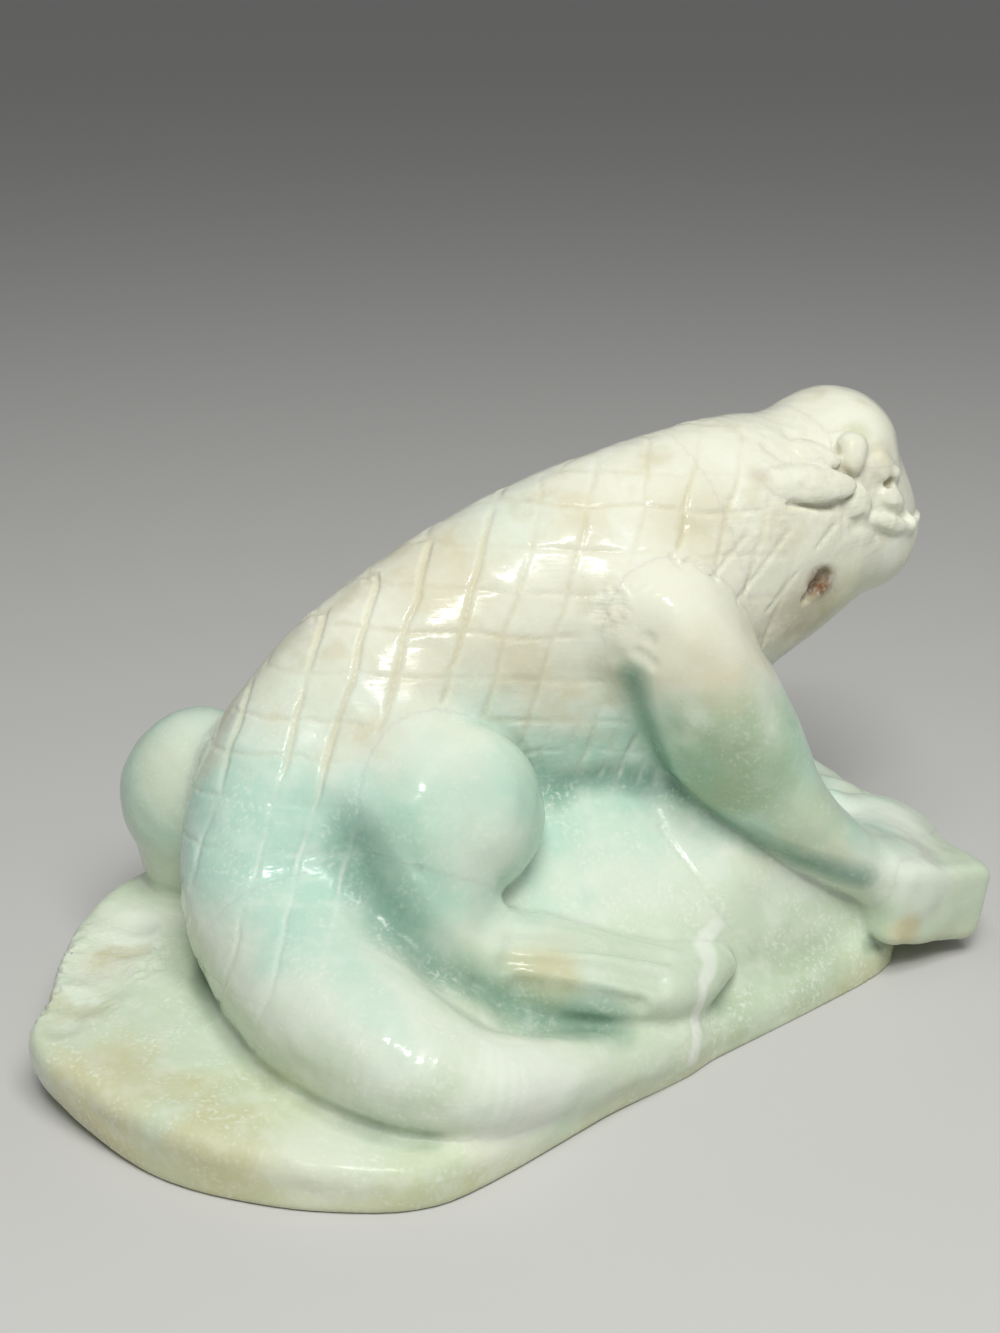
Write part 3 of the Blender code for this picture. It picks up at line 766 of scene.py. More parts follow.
class Detail:
    """The small carving, set on the smooth stone by the photograph's pixels."""

    def __init__(self, stone):
        self.stone = stone
        seen = self.sighted({
            "eye": (EYE, EYE_LOBE),
            "plates": FACE_PLATES.values(),
            "bumps": FACE_BUMPS,
            "nostril": (NOSTRIL,),
            "jaw_pit": JAW_PIT,
            "neck_crack": NECK_CRACK,
            "chips": CHIPS,
            "mound_crack": MOUND_CRACK,
            "raw": RAW_PATCHES,
            "vein": VEIN,
            **{f"shade_{name}": path for name, (_, path) in SHADES.items()},
            "patches": [patch[0] for patch in PATCHES.values()],
            **{f"face_cut_{name}": path for name, (_, path) in FACE_CUTS.items()},
            **{f"jaw_cut_{index}": path for index, path in enumerate(JAW_CUTS)},
            **{f"toe_groove_{index}": path for index, path in enumerate(TOE_GROOVES)},
        })
        self.eyes = [seen["eye"], stone.mirrored(seen["eye"]) - (0, 0, FAR_EYE_DROP)]
        self.plates = self.face_plates(seen["plates"])
        self.bumps = np.vstack(self.pair(seen["bumps"]))
        self.nostrils = np.vstack(self.pair(seen["nostril"]))
        self.jaw_pit = seen["jaw_pit"]
        self.neck_crack = seen["neck_crack"]
        self.chips = []
        for place, (*_, reach, depth) in zip(seen["chips"], CHIPS):
            size = (reach**2 + depth**2) / (2 * depth)
            middle = place + self.outward(place[None])[0] * (size - depth)
            self.chips.append((place, CHIP_SPREAD * reach, middle, size))
        self.mound_crack = seen["mound_crack"]
        self.raw = seen["raw"]
        self.vein = seen["vein"]
        self.patches = seen["patches"]
        self.shades = [(reach, seen[f"shade_{name}"]) for name, (reach, _) in SHADES.items()]
        for name, (rise, _) in FACE_CUTS.items():
            seen[f"face_cut_{name}"] += rise * self.outward(seen[f"face_cut_{name}"])
        self.face_cuts = self.both_sides(seen, "face_cut_")
        self.jaw_cuts = self.both_sides(seen, "jaw_cut_")
        self.toe_grooves = [path for name, path in seen.items() if name.startswith("toe_groove_")]
        self.toe_grooves += [self.dropped(ends) for ends in FAR_TOE_GROOVES]
        self.raw_waves = Waves(*RAW_WAVES)
        self.flake_waves = Waves(*FLAKE_WAVES)
        self.slow_waves = Waves(*SLOW_WAVES)
        self.tool_waves = Waves(*TOOL_WAVES)

    def on_stone(self, pixels):
        """Where the sight lines through these pixels meet the smooth stone."""
        pixels = np.asarray(pixels, float)
        right, up, back, eye = camera_axes()
        ways = (
            (pixels[:, :1] - PHOTO_SIZE[0] / 2) * PIXEL_SLOPE * right
            + (PHOTO_SIZE[1] / 2 - pixels[:, 1:]) * PIXEL_SLOPE * up
            - back
        )
        ways /= np.linalg.norm(ways, axis=1)[:, None]
        reach = np.full(len(pixels), CAMERA_REACH * SIGHT_START)
        for _ in range(SIGHT_STEPS):
            gap = self.stone.smooth(eye + ways * reach[:, None])
            reach += np.clip(gap, *SIGHT_LEAPS) * SIGHT_STRIDE
        places = eye + ways * reach[:, None]
        missed = np.abs(self.stone.smooth(places)) > SIGHT_MISS
        if missed.any():
            raise RuntimeError(f"these pixels miss the stone: {pixels[missed].tolist()}")
        return places

    def dropped(self, ends):
        """A straight path between two points, let down on to the smooth stone."""
        path = np.linspace(*np.array(ends, float), DROP_POINTS)
        for _ in range(DROP_STEPS):
            path[:, 2] -= DROP_STRIDE * self.stone.smooth(path)
        return path

    def outward(self, places):
        """The way out of the smooth stone at these places."""
        smooth = self.stone.smooth
        steps = SLOPE_STEP * np.eye(3)
        found = np.stack([smooth(places + step) - smooth(places - step) for step in steps], 1)
        return found / np.maximum(np.linalg.norm(found, axis=1), TINY)[:, None]

    def face_plates(self, places):
        """Middle, half sides and axes of each plate, by its side and name."""
        right, up, _, _ = camera_axes()
        side = self.stone.face_axes[1]
        found = {}
        for place, outward, (name, plate) in zip(places, self.outward(places), FACE_PLATES.items()):
            turn, lift = np.radians(plate[5:])
            along = right * math.cos(turn) + up * math.sin(turn)
            along = unit(unit(along - (along @ outward) * outward) + math.tan(lift) * outward)
            outward = unit(outward - (outward @ along) * along)
            axes = np.array([along, np.cross(outward, along), outward])
            found["right", name] = (place, plate[2:5], axes)
            if name not in NEAR_PLATES:
                other = self.stone.mirrored(place[None])[0]
                found["left", name] = (other, plate[2:5], axes - 2 * np.outer(axes @ side, side))
        return found

    def sighted(self, groups):
        """The places on the stone of each group of pixels."""
        pixels = []
        for name, spots in groups.items():
            spots = np.array([spot[:2] for spot in spots], float)
            if name.startswith(tuple(GROOVES)):
                spots = smooth_rows(spots, GROOVE_STEPS)
            pixels.append(spots)
        places = self.on_stone(np.vstack(pixels))
        ends = np.cumsum([len(part) for part in pixels])[:-1]
        return dict(zip(groups, np.split(places, ends)))

    def pair(self, places):
        """These places, and their mirror images on the other side of the head."""
        return places, self.stone.mirrored(places)

    def both_sides(self, seen, start):
        """The paths whose names start so, and the same on the other side of the head."""
        paths = [path for name, path in seen.items() if name.startswith(start)]
        return [side for path in paths for side in self.pair(path)]

    def rawness(self, points):
        """1 where the stone is left raw, fading to 0."""
        found = np.zeros(len(points))
        for place, spot in zip(self.raw, RAW_PATCHES):
            near = np.clip(2 - 2 * np.linalg.norm(points - place, axis=1) / spot[2], 0, 1)
            found = np.maximum(found, near * spot[3])
        return found

    def shade(self, points):
        """1 along the middle of the bands of painted shade, fading to 0."""
        bands = [ease(reach, 0, path_distance(points, path)) for reach, path in self.shades]
        return np.max(bands, axis=0)

    def carve(self, whole, points, found):
        """Adds the bumps of the face to the smooth stone, and takes the cuts and chips out of it."""

        def grooved(kind, *paths):
            reach, blend = GROOVES[kind]
            cut = whole
            for path in paths:
                cut = common(cut, reach - path_distance(points, path), blend)
            return cut

        for (side, name), plate in self.plates.items():
            found[f"{side}_{name}"] = ellipsoid(points, *plate)
            whole = joined(whole, found[f"{side}_{name}"], CARVED_BLEND["plate"])
        for place, (*_, size) in zip(self.bumps, FACE_BUMPS * 2):
            whole = joined(whole, ball(points, place, size), CARVED_BLEND["bump"])
        rough = np.abs(self.raw_waves(points)) + FLAKE_SHARE * np.abs(self.flake_waves(points)) - 1
        whole = whole + self.rawness(points) * rough * RAW_DEPTH
        whole = grooved("face_cut", *self.face_cuts)
        whole = grooved("jaw_cut", *self.jaw_cuts)
        for side, (eye, lobe) in zip(SIDES, self.eyes):
            parts = ball(points, eye, EYE_SIZE), ball(points, lobe, EYE_LOBE_SIZE)
            found[f"{side}_eye"] = joined(*parts, EYE_LOBE_BLEND)
            whole = joined(whole, found[f"{side}_eye"], CARVED_BLEND["eye"])
        for place in self.nostrils:
            hole = NOSTRIL[2] - np.linalg.norm(points - place, axis=1)
            whole = common(whole, hole, CARVED_BLEND["nostril"])
        for place, (*_, size) in zip(self.jaw_pit, JAW_PIT):
            whole = common(whole, -ball(points, place, size), CARVED_BLEND["jaw_pit"])
        whole = grooved("neck_crack", self.neck_crack)
        for place, reach, middle, size in self.chips:
            near = np.linalg.norm(points - place, axis=1) < reach
            scoop = size - np.linalg.norm(points - middle, axis=1)
            whole = np.where(near, common(whole, scoop, CARVED_BLEND["chip"]), whole)
        whole = grooved("toe_groove", *self.toe_grooves)
        whole = grooved("mound_crack", self.mound_crack)
        uneven = SLOW_SWELL * self.slow_waves(points) + TOOL_SWELL * self.tool_waves(points)
        return whole + uneven * ease(*SWELL_HEIGHTS, points[:, 2])


CORNERS = [(i, j, k) for i in (0, 1) for j in (0, 1) for k in (0, 1)]
CELL_EDGES = [
    (first, second)
    for first in CORNERS
    for second in CORNERS
    if sum(abs(a - b) for a, b in zip(first, second)) == 1 and first < second
]
# The grid is measured first by blocks of COARSE cells, and by cells within these shares of a block
COARSE = 4
NEAR_SURFACE = 1.05
NEAR_SEAM = 1.8
CHUNK = 60_000
# Room round the box of the solids: cells, and millimetres beyond its upper corner
ROOM_CELLS = 3
ROOM_ABOVE = 3
CELLS_BELOW = 2.5
SETTLE_ROUNDS = 2
SETTLE_SHARE = 0.4
# Walls between masses stay this far under the surface, and a skirt closes the gap, in millimetres
WALL_COVER = 0.9
SKIRT = 0.5
# What is known of the surface: differences and lengths along the spine, in millimetres
LIMB_FADE = (-3, 4)
NET_FADE = (0.2, 1.8)
NET_STARTS_BEFORE = {"tail_swell": 8, "rump": 6}
NET_ENDS_BEFORE_JAW = (2, 13)
HOLLOW_REACH = 2.5
EVENING = 10
# Values that the pieces keep for their finish
FINISH_FACTS = ("limb", "raw", "hollow", "shade", "cut")


def in_chunks(measure, points):
    """The results of measure on a long list of points, a part at a time."""
    runs = np.array_split(points, max(1, len(points) // CHUNK))
    with ThreadPoolExecutor() as pool:
        columns = zip(*pool.map(measure, runs))
    return [np.concatenate(column) for column in columns]


def sampled(stone, low, high, step):
    """Distance, mass number (0 outside) and margin on a grid, exact near surfaces and seams."""
    size = step * COARSE
    counts = np.ceil((high - low) / size).astype(int)
    axes = [low[i] + size * (np.arange(counts[i]) + 0.5) for i in range(3)]
    middles = np.stack(np.meshgrid(*axes, indexing="ij"), -1).reshape(-1, 3)
    distance, mass, margin = (part.reshape(counts) for part in in_chunks(stone.measure, middles))
    near_seam = (distance < 0) & (margin < NEAR_SEAM * size)
    near = (np.abs(distance) < NEAR_SURFACE * size) | near_seam

    def spread(values, kind):
        for axis in range(3):
            values = np.repeat(values, COARSE, axis)
        return values.astype(kind)

    field = spread(distance, np.float32)
    code = spread(mass, np.uint8)
    belonging = spread(margin, np.float32)
    inner = np.stack(np.meshgrid(*[np.arange(COARSE)] * 3, indexing="ij"), -1).reshape(-1, 3)
    index = (np.argwhere(near)[:, None] * COARSE + inner[None]).reshape(-1, 3)
    where = tuple(index.T)
    field[where], code[where], belonging[where] = in_chunks(stone.measure, low + step * index)
    return field, np.where(field < 0, code + 1, 0).astype(np.uint8), belonging


def cell_points(field, code, margin, low, step):
    """One point in each cell that a surface or a seam crosses, and the number of each cell."""
    shape = np.array(code.shape) - 1
    views = [code[i : shape[0] + i, j : shape[1] + j, k : shape[2] + k] for i, j, k in CORNERS]
    crossed = np.minimum.reduce(views) != np.maximum.reduce(views)
    cells = np.argwhere(crossed)
    number = np.full(shape, -1, np.int32)
    number[crossed] = np.arange(len(cells))
    total, count = np.zeros((len(cells), 3)), np.zeros(len(cells))

    def gather(kind):
        for first, second in CELL_EDGES:
            start, end = (tuple((cells + corner).T) for corner in (first, second))
            use, share = kind(start, end)
            place = np.array(first) + share[:, None] * (np.array(second) - np.array(first))
            total[use] += place[use]
            count[use] += 1

    def surface(start, end):
        use = (code[start] == 0) != (code[end] == 0)
        return use, np.where(use, field[start] / (field[start] - field[end] + LEAST), 0)

    def seam(start, end):
        use = (code[start] > 0) & (code[end] > 0) & (code[start] != code[end]) & ~on_surface
        return use, np.where(use, margin[start] / (margin[start] + margin[end] + TINY), 0)

    gather(surface)
    on_surface = count > 0
    gather(seam)
    return low + step * (cells + total / count[:, None]), on_surface, number


def net_faces(code, number):
    """The outer faces and the walls between masses, each as (mass number, four points)."""
    outer, walls = [], []
    for axis in range(3):
        lower = tuple(slice(0, -1) if i == axis else slice(1, -1) for i in range(3))
        upper = tuple(slice(1, None) if i == axis else slice(1, -1) for i in range(3))
        first, second = code[lower], code[upper]
        edges = np.argwhere(first != second)
        start, end = first[tuple(edges.T)], second[tuple(edges.T)]
        one, two = (i for i in range(3) if i != axis)
        edges[:, one] += 1
        edges[:, two] += 1

        def cell(back_one, back_two):
            place = edges.copy()
            place[:, one] -= back_one
            place[:, two] -= back_two
            return number[tuple(place.T)]

        quads = np.stack([cell(1, 1), cell(0, 1), cell(0, 0), cell(1, 0)], 1)
        if axis == 1:
            quads = quads[:, ::-1]
        for mass, other, faces in ((start, end, quads), (end, start, quads[:, ::-1])):
            shown = (mass > 0) & (other == 0)
            hidden = (mass > 0) & (other > 0)
            outer.append(np.column_stack([mass, faces])[shown])
            walls.append(np.column_stack([mass, faces])[hidden])
    return np.vstack(outer), np.vstack(walls)


def face_normals(points, faces):
    corners = points[faces]
    return np.cross(corners[:, 2] - corners[:, 0], corners[:, 3] - corners[:, 1])


def point_normals(points, faces):
    found = np.zeros_like(points)
    normals = face_normals(points, faces)
    for corner in range(4):
        np.add.at(found, faces[:, corner], normals)
    return found / np.maximum(np.linalg.norm(found, axis=1), LEAST)[:, None]


class Carving:
    """The whole stone as one mesh, in metres, with what is known of each point."""

    def __init__(self, step):
        self.stone = Stone()
        low = np.array(CAD_BOX[0]) / MM - ROOM_CELLS * step
        high = np.array(CAD_BOX[1]) / MM + ROOM_ABOVE + ROOM_CELLS * step
        low[2] = -CELLS_BELOW * step
        field, code, margin = sampled(self.stone, low, high, step)
        places, self.shown, number = cell_points(field, code, margin, low, step)
        self.outer, self.walls = net_faces(code, number)
        self.settle(places, step)
        self.places = places * MM
        self.facts = self.read_facts(places)

    def settle(self, places, step):
        """Moves the points of the surface onto it, and those of the walls under it."""
        most = SETTLE_SHARE * step
        for _ in range(SETTLE_ROUNDS):
            normals = point_normals(places, self.outer[:, 1:])[self.shown]
            gap = in_chunks(self.stone.measure, places[self.shown])[0]
            places[self.shown] -= normals * np.clip(gap, -most, most)[:, None]
        hidden = np.flatnonzero(~self.shown)
        if not len(hidden):
            return
        gap = in_chunks(self.stone.measure, places[hidden])[0]
        close = hidden[gap > -WALL_COVER]
        depth = np.minimum(gap[gap > -WALL_COVER] + WALL_COVER, WALL_COVER)
        places[close] -= self.stone.detail.outward(places[close]) * depth[:, None]

    def read_facts(self, places):
        """What the scale net and the finish need to know, on the points of the surface."""
        stone = self.stone
        points = places[self.shown]
        normals = point_normals(places, self.outer[:, 1:])[self.shown]
        length = dict(zip(SPINE, stone.body.length[::STEPS]))
        net_start = [length[name] - before for name, before in NET_STARTS_BEFORE.items()]
        net_end = [length["jaw"] - before for before in NET_ENDS_BEFORE_JAW]

        def about(run):
            found, along = stone.masses(run)
            others = np.min([value for name, value in found.items() if name != "body"], axis=0)
            sides = [value for name, value in found.items() if name.startswith(SIDES)]
            limbs = np.min(sides, axis=0)
            limb = ease(*LIMB_FADE, np.minimum(found["body"], found["rock_base"]) - limbs)
            net = ease(*NET_FADE, others - found["body"])
            net *= ease(*net_start, along)
            net *= ease(*net_end, along)
            return net, limb, stone.detail.rawness(run), stone.detail.shade(run)

        facts = dict(zip(("net", "limb", "raw", "shade"), in_chunks(about, points)))
        # How closed in the surface is: it lays painted shade in the creases and dulls the polish
        above = in_chunks(stone.measure, points + HOLLOW_REACH * normals)[0]
        facts["hollow"] = np.clip(1 - above / HOLLOW_REACH, 0, 1)
        whole = {}
        for name, values in facts.items():
            whole[name] = np.zeros(len(places), np.float32)
            whole[name][self.shown] = values
        whole["hollow"] = self.evened(whole["hollow"])
        return whole

    def evened(self, values):
        """The values, each drawn towards its neighbours on the surface."""
        starts = self.outer[:, 1:].ravel()
        ends = np.roll(self.outer[:, 1:], -1, axis=1).ravel()
        count = np.maximum(np.bincount(starts, minlength=len(values)), 1)
        for _ in range(EVENING):
            values = 0.5 * values + 0.5 * np.bincount(starts, values[ends], len(values)) / count
        return values.astype(np.float32)

    def surface_mesh(self):
        """The outer surface alone, with its facts."""
        mesh = bpy.data.meshes.new("stone_surface")
        fill_mesh(mesh, self.places, self.outer[:, 1:])
        for name, values in self.facts.items():
            mesh.attributes.new(name, "FLOAT", "POINT").data.foreach_set("value", values)
        return mesh

    def take_back(self, mesh):
        """Reads the places and the depth of the cuts from the mesh that the node tree has made."""
        places = np.empty(len(mesh.vertices) * 3, np.float32)
        mesh.vertices.foreach_get("co", places)
        self.places[:] = places.reshape(-1, 3)
        cut = np.zeros(len(mesh.vertices), np.float32)
        mesh.attributes["cut"].data.foreach_get("value", cut)
        self.facts["cut"] = cut
        self.normals = point_normals(self.places, self.outer[:, 1:])
        self.inner = self.places - self.normals * SKIRT * MM

    def piece_mesh(self, name):
        """One mass as a closed mesh: its share of the surface, and the walls to its neighbours."""
        mass = MASSES.index(name) + 1
        outer = self.outer[self.outer[:, 0] == mass, 1:]
        walls = self.walls[self.walls[:, 0] == mass, 1:]
        if not len(outer):
            raise RuntimeError(f"the carving shows nothing of {name}")
        count = len(self.places)
        walls = np.where(self.shown[walls], walls + count, walls)
        faces = np.vstack([outer, walls, self.skirt(outer)])
        used, index = np.unique(faces, return_inverse=True)
        places = np.vstack([self.places, self.inner])
        mesh = bpy.data.meshes.new(f"{name}_stone")
        fill_mesh(mesh, places[used], index.reshape(-1, 4))
        for fact in FINISH_FACTS:
            values = np.ascontiguousarray(self.facts[fact][used % count])
            mesh.attributes.new(fact, "FLOAT", "POINT").data.foreach_set("value", values)
        unseen = face_normals(places, faces[len(outer):])
        unseen /= np.maximum(np.linalg.norm(unseen, axis=1), LEAST)[:, None]
        corner = np.vstack([self.normals[outer].reshape(-1, 3), np.repeat(unseen, 4, axis=0)])
        mesh.normals_split_custom_set(corner.tolist())
        return mesh

    def skirt(self, outer):
        """Faces that run straight inwards from the edge of a share of the surface."""
        count = len(self.places)
        starts = outer.ravel().astype(np.int64)
        ends = np.roll(outer, -1, axis=1).ravel().astype(np.int64)
        lone = ~np.isin(starts * count + ends, ends * count + starts)
        starts, ends = starts[lone], ends[lone]
        return np.stack([ends, starts, starts + count, ends + count], 1)


def fill_mesh(mesh, places, faces):
    """Puts quads into an empty mesh."""
    mesh.vertices.add(len(places))
    mesh.vertices.foreach_set("co", np.ascontiguousarray(places, np.float32).ravel())
    mesh.loops.add(faces.size)
    mesh.loops.foreach_set("vertex_index", np.ascontiguousarray(faces, np.int32).ravel())
    mesh.polygons.add(len(faces))
    mesh.polygons.foreach_set("loop_start", np.arange(0, faces.size, 4, dtype=np.int32))
    mesh.update(calc_edges=True)
    mesh.shade_smooth()


class Wiring:
    """Adds nodes to a tree. A value is a number, a colour, a vector or another node's output."""

    def __init__(self, tree):
        self.tree = tree

    def feed(self, socket, value):
        if isinstance(value, bpy.types.NodeSocket):
            self.tree.links.new(value, socket)
        else:
            socket.default_value = value

    def add(self, kind, inputs=(), **settings):
        node = self.tree.nodes.new(kind)
        for name, value in settings.items():
            setattr(node, name, value)
        for key, value in dict(inputs).items():
            self.feed(node.inputs[key], value)
        return node

    def maths(self, operation, *values):
        return self.add("ShaderNodeMath", enumerate(values), operation=operation).outputs[0]

    def times(self, *values):
        """The product of these values, taken in turn."""
        product = values[0]
        for value in values[1:]:
            product = self.maths("MULTIPLY", product, value)
        return product

    def vectors(self, operation, *values):
        return self.add("ShaderNodeVectorMath", enumerate(values), operation=operation)

    def mix(self, factor, first, second):
        inputs = {0: factor, 6: first, 7: second}
        return self.add("ShaderNodeMix", inputs, data_type="RGBA").outputs[2]

    def step(self, value, low, high, start=0.0, end=1.0):
        """A smooth step from start to end, as the value goes from low to high."""
        inputs = {0: value, 1: low, 2: high, 3: start, 4: end}
        return self.add("ShaderNodeMapRange", inputs, interpolation_type="SMOOTHSTEP").outputs[0]

    def noise(self, place, scale, detail=2.0):
        inputs = {"Vector": place, "Scale": scale, "Detail": detail}
        return self.add("ShaderNodeTexNoise", inputs).outputs[0]

    def sway(self, place, scale, detail=2.0):
        """Noise about 0."""
        return self.maths("SUBTRACT", self.noise(place, scale, detail), 0.5)


def open_tree(name, kind, inputs, outputs):
    """A new node tree with these sockets by kind of value, its wiring, and what it is given."""
    tree = bpy.data.node_groups.new(name, kind)
    for way, sockets in (("INPUT", inputs), ("OUTPUT", outputs)):
        for value, labels in sockets:
            for label in labels:
                tree.interface.new_socket(label, in_out=way, socket_type=f"NodeSocket{value}")
    net = Wiring(tree)
    return tree, net, net.add("NodeGroupInput").outputs


# The net of scales. Noises are in waves to the metre, and places in metres
WOBBLE_NOISE = 160.0
BREAK_NOISE = 95.0
BREAK_DETAIL = 3.0
BREAK_STEP = (0.37, 0.54, 0.12, 1.0)
LINE_SHIFT = (-0.2, 0.2)
LINE_DEPTH = (0.45, 1.3)
SEED_STRIDE = 17.3
# Numbers that set one family of drawn cuts apart from the others
SLANTED_SALT = 1.0
BETWEEN_SALT = 21.0
CROSSING_SALT = 9.0
DEPTH_SALT = 5
HALF_PITCH = 0.5
# Where more slanted cuts lie between the others: falling height, and way forward
FLANK_HEIGHT = (0.037, 0.031)
FLANK_FORWARD = (0.002, 0.008)


def scale_tree():
    """A node tree that cuts a slanted net of scales into a surface, along its own normals."""
    inputs = (
        ("Geometry", ("Geometry",)),
        ("Vector", ("Slant", "Cross")),
        ("Float", ("Mid Plane", "Pitch", "Cross Pitch", "Width", "Depth", "Cross Depth", "Wobble")),
        ("Int", ("Seed",)),
        ("Material", ("Material",)),
    )
    outputs = (("Geometry", ("Geometry",)),)
    tree, net, given = open_tree("Scale cuts", "GeometryNodeTree", inputs, outputs)

    def fact(name):
        return net.add("GeometryNodeInputNamedAttribute", {"Name": name}, data_type="FLOAT").outputs[0]

    def drawn(index, low, high, salt):
        """A number for each line, drawn between two bounds."""
        place = net.maths("ADD", index, net.maths("MULTIPLY_ADD", given["Seed"], SEED_STRIDE, salt))
        value = net.add("ShaderNodeTexWhiteNoise", {"W": place}, noise_dimensions="1D").outputs[0]
        return net.maths("MULTIPLY_ADD", value, high - low, low)

    place = net.add("GeometryNodeInputPosition").outputs[0]
    wobble = net.times(net.sway(place, WOBBLE_NOISE), given["Wobble"])
    x, y, z = net.add("ShaderNodeSeparateXYZ", {0: place}).outputs
    beyond = net.maths("ABSOLUTE", net.maths("SUBTRACT", y, given["Mid Plane"]))
    near = net.maths("SUBTRACT", given["Mid Plane"], beyond)
    folded = net.add("ShaderNodeCombineXYZ", {0: x, 1: near, 2: z}).outputs[0]

    def cuts(lean, pitch, depth, salt, start=0.0):
        """The depth of one family of cuts, on planes that lie a pitch apart."""
        across = net.vectors("DOT_PRODUCT", folded, lean).outputs["Value"]
        across = net.maths("ADD", across, wobble)
        index = net.maths("ROUND", net.maths("SUBTRACT", net.maths("DIVIDE", across, pitch), start))
        shifted = net.maths("ADD", net.maths("ADD", index, start), drawn(index, *LINE_SHIFT, salt))
        gap = net.maths("SUBTRACT", across, net.times(shifted, pitch))
        shape = net.step(net.maths("ABSOLUTE", gap), 0.0, given["Width"], 1.0, 0.0)
        kept = net.step(net.noise(place, BREAK_NOISE + salt, BREAK_DETAIL), *BREAK_STEP)
        deep = net.times(depth, drawn(index, *LINE_DEPTH, salt + DEPTH_SALT))
        return net.times(shape, kept, deep)

    family = (given["Slant"], given["Pitch"], given["Depth"])
    slanted = cuts(*family, SLANTED_SALT)
    between = cuts(*family, BETWEEN_SALT, HALF_PITCH)
    flank = net.times(net.step(z, *FLANK_HEIGHT), net.step(x, *FLANK_FORWARD))
    crossing = cuts(given["Cross"], given["Cross Pitch"], given["Cross Depth"], CROSSING_SALT)
    deepest = net.maths("MAXIMUM", slanted, net.times(between, flank))
    deepest = net.maths("MAXIMUM", deepest, crossing)
    depth = net.times(deepest, fact("net"))
    inward = net.vectors("SCALE", net.add("GeometryNodeInputNormal").outputs[0])
    net.feed(inward.inputs["Scale"], net.times(depth, -1.0))
    offset = {"Geometry": given["Geometry"], "Offset": inward.outputs[0]}
    moved = net.add("GeometryNodeSetPosition", offset).outputs[0]
    share = net.maths("DIVIDE", depth, given["Depth"])
    stored = net.add(
        "GeometryNodeStoreNamedAttribute",
        {"Geometry": moved, "Name": "cut", "Value": share},
        data_type="FLOAT",
        domain="POINT",
    )
    real = net.add("GeometryNodeRealizeInstances", {0: stored.outputs[0]}).outputs[0]
    finish = {"Geometry": real, "Material": given["Material"]}
    dressed = net.add("GeometryNodeSetMaterial", finish).outputs[0]
    net.add("NodeGroupOutput", {0: dressed})
    return tree


# The finish of the stone. Noises: waves to the metre, and detail; heights and widths are in metres
SLOW_NOISE = 45.0
QUICK_NOISE = (170.0, 3.0)
CLOUD_NOISE = (420.0, 6.0)
GRAIN_NOISE = (1900.0, 3.0)
GRAIN_PATCH_NOISE = 240.0
SLOW_SHIFT = 0.018
QUICK_SHIFT = 0.008
# Steps of a layer: from none of it to all of it, then how much none and all are
GREEN_LIMBS = (0.040, 0.028)
WARM_STONE = (0.026, 0.036)
CLOUDED_STONE = (0.042, 0.030, 0.7, 1.0)
PATCH_EDGE = (1.0, 0.25)
STREAKS = {"tan": (0.03, 0.2, 0.0, 0.4), "crystal": (-0.03, -0.2, 0.0, 0.4)}
SHADE_EDGE = (0.0, 0.3)
CLOUD_STEP = (0.45, 0.75, 0.0, 0.6)
GRAIN_STEP = (0.48, 0.70)
GRAIN_PATCH_STEP = (0.4, 0.65, 0.25, 1.0)
VEIN_EDGE = (0.0011, 0.0004)
VEIN_WANDER = 0.0012
VEIN_ENDS = (1.25, 0.9)
MOTTLE_STEP = (-0.06, 0.06)
CREASE_STEP = (0.45, 1.0)
RAGGED_EDGE = 0.9
RAGGED_SHADE = 0.5
# How strongly a layer covers the stone; shade and crease are layers of painted shade
COVER = {"limb": 0.12, "shade": 0.75, "vein": 0.75, "cut": 0.5, "raw": 0.35, "crease": 0.5}


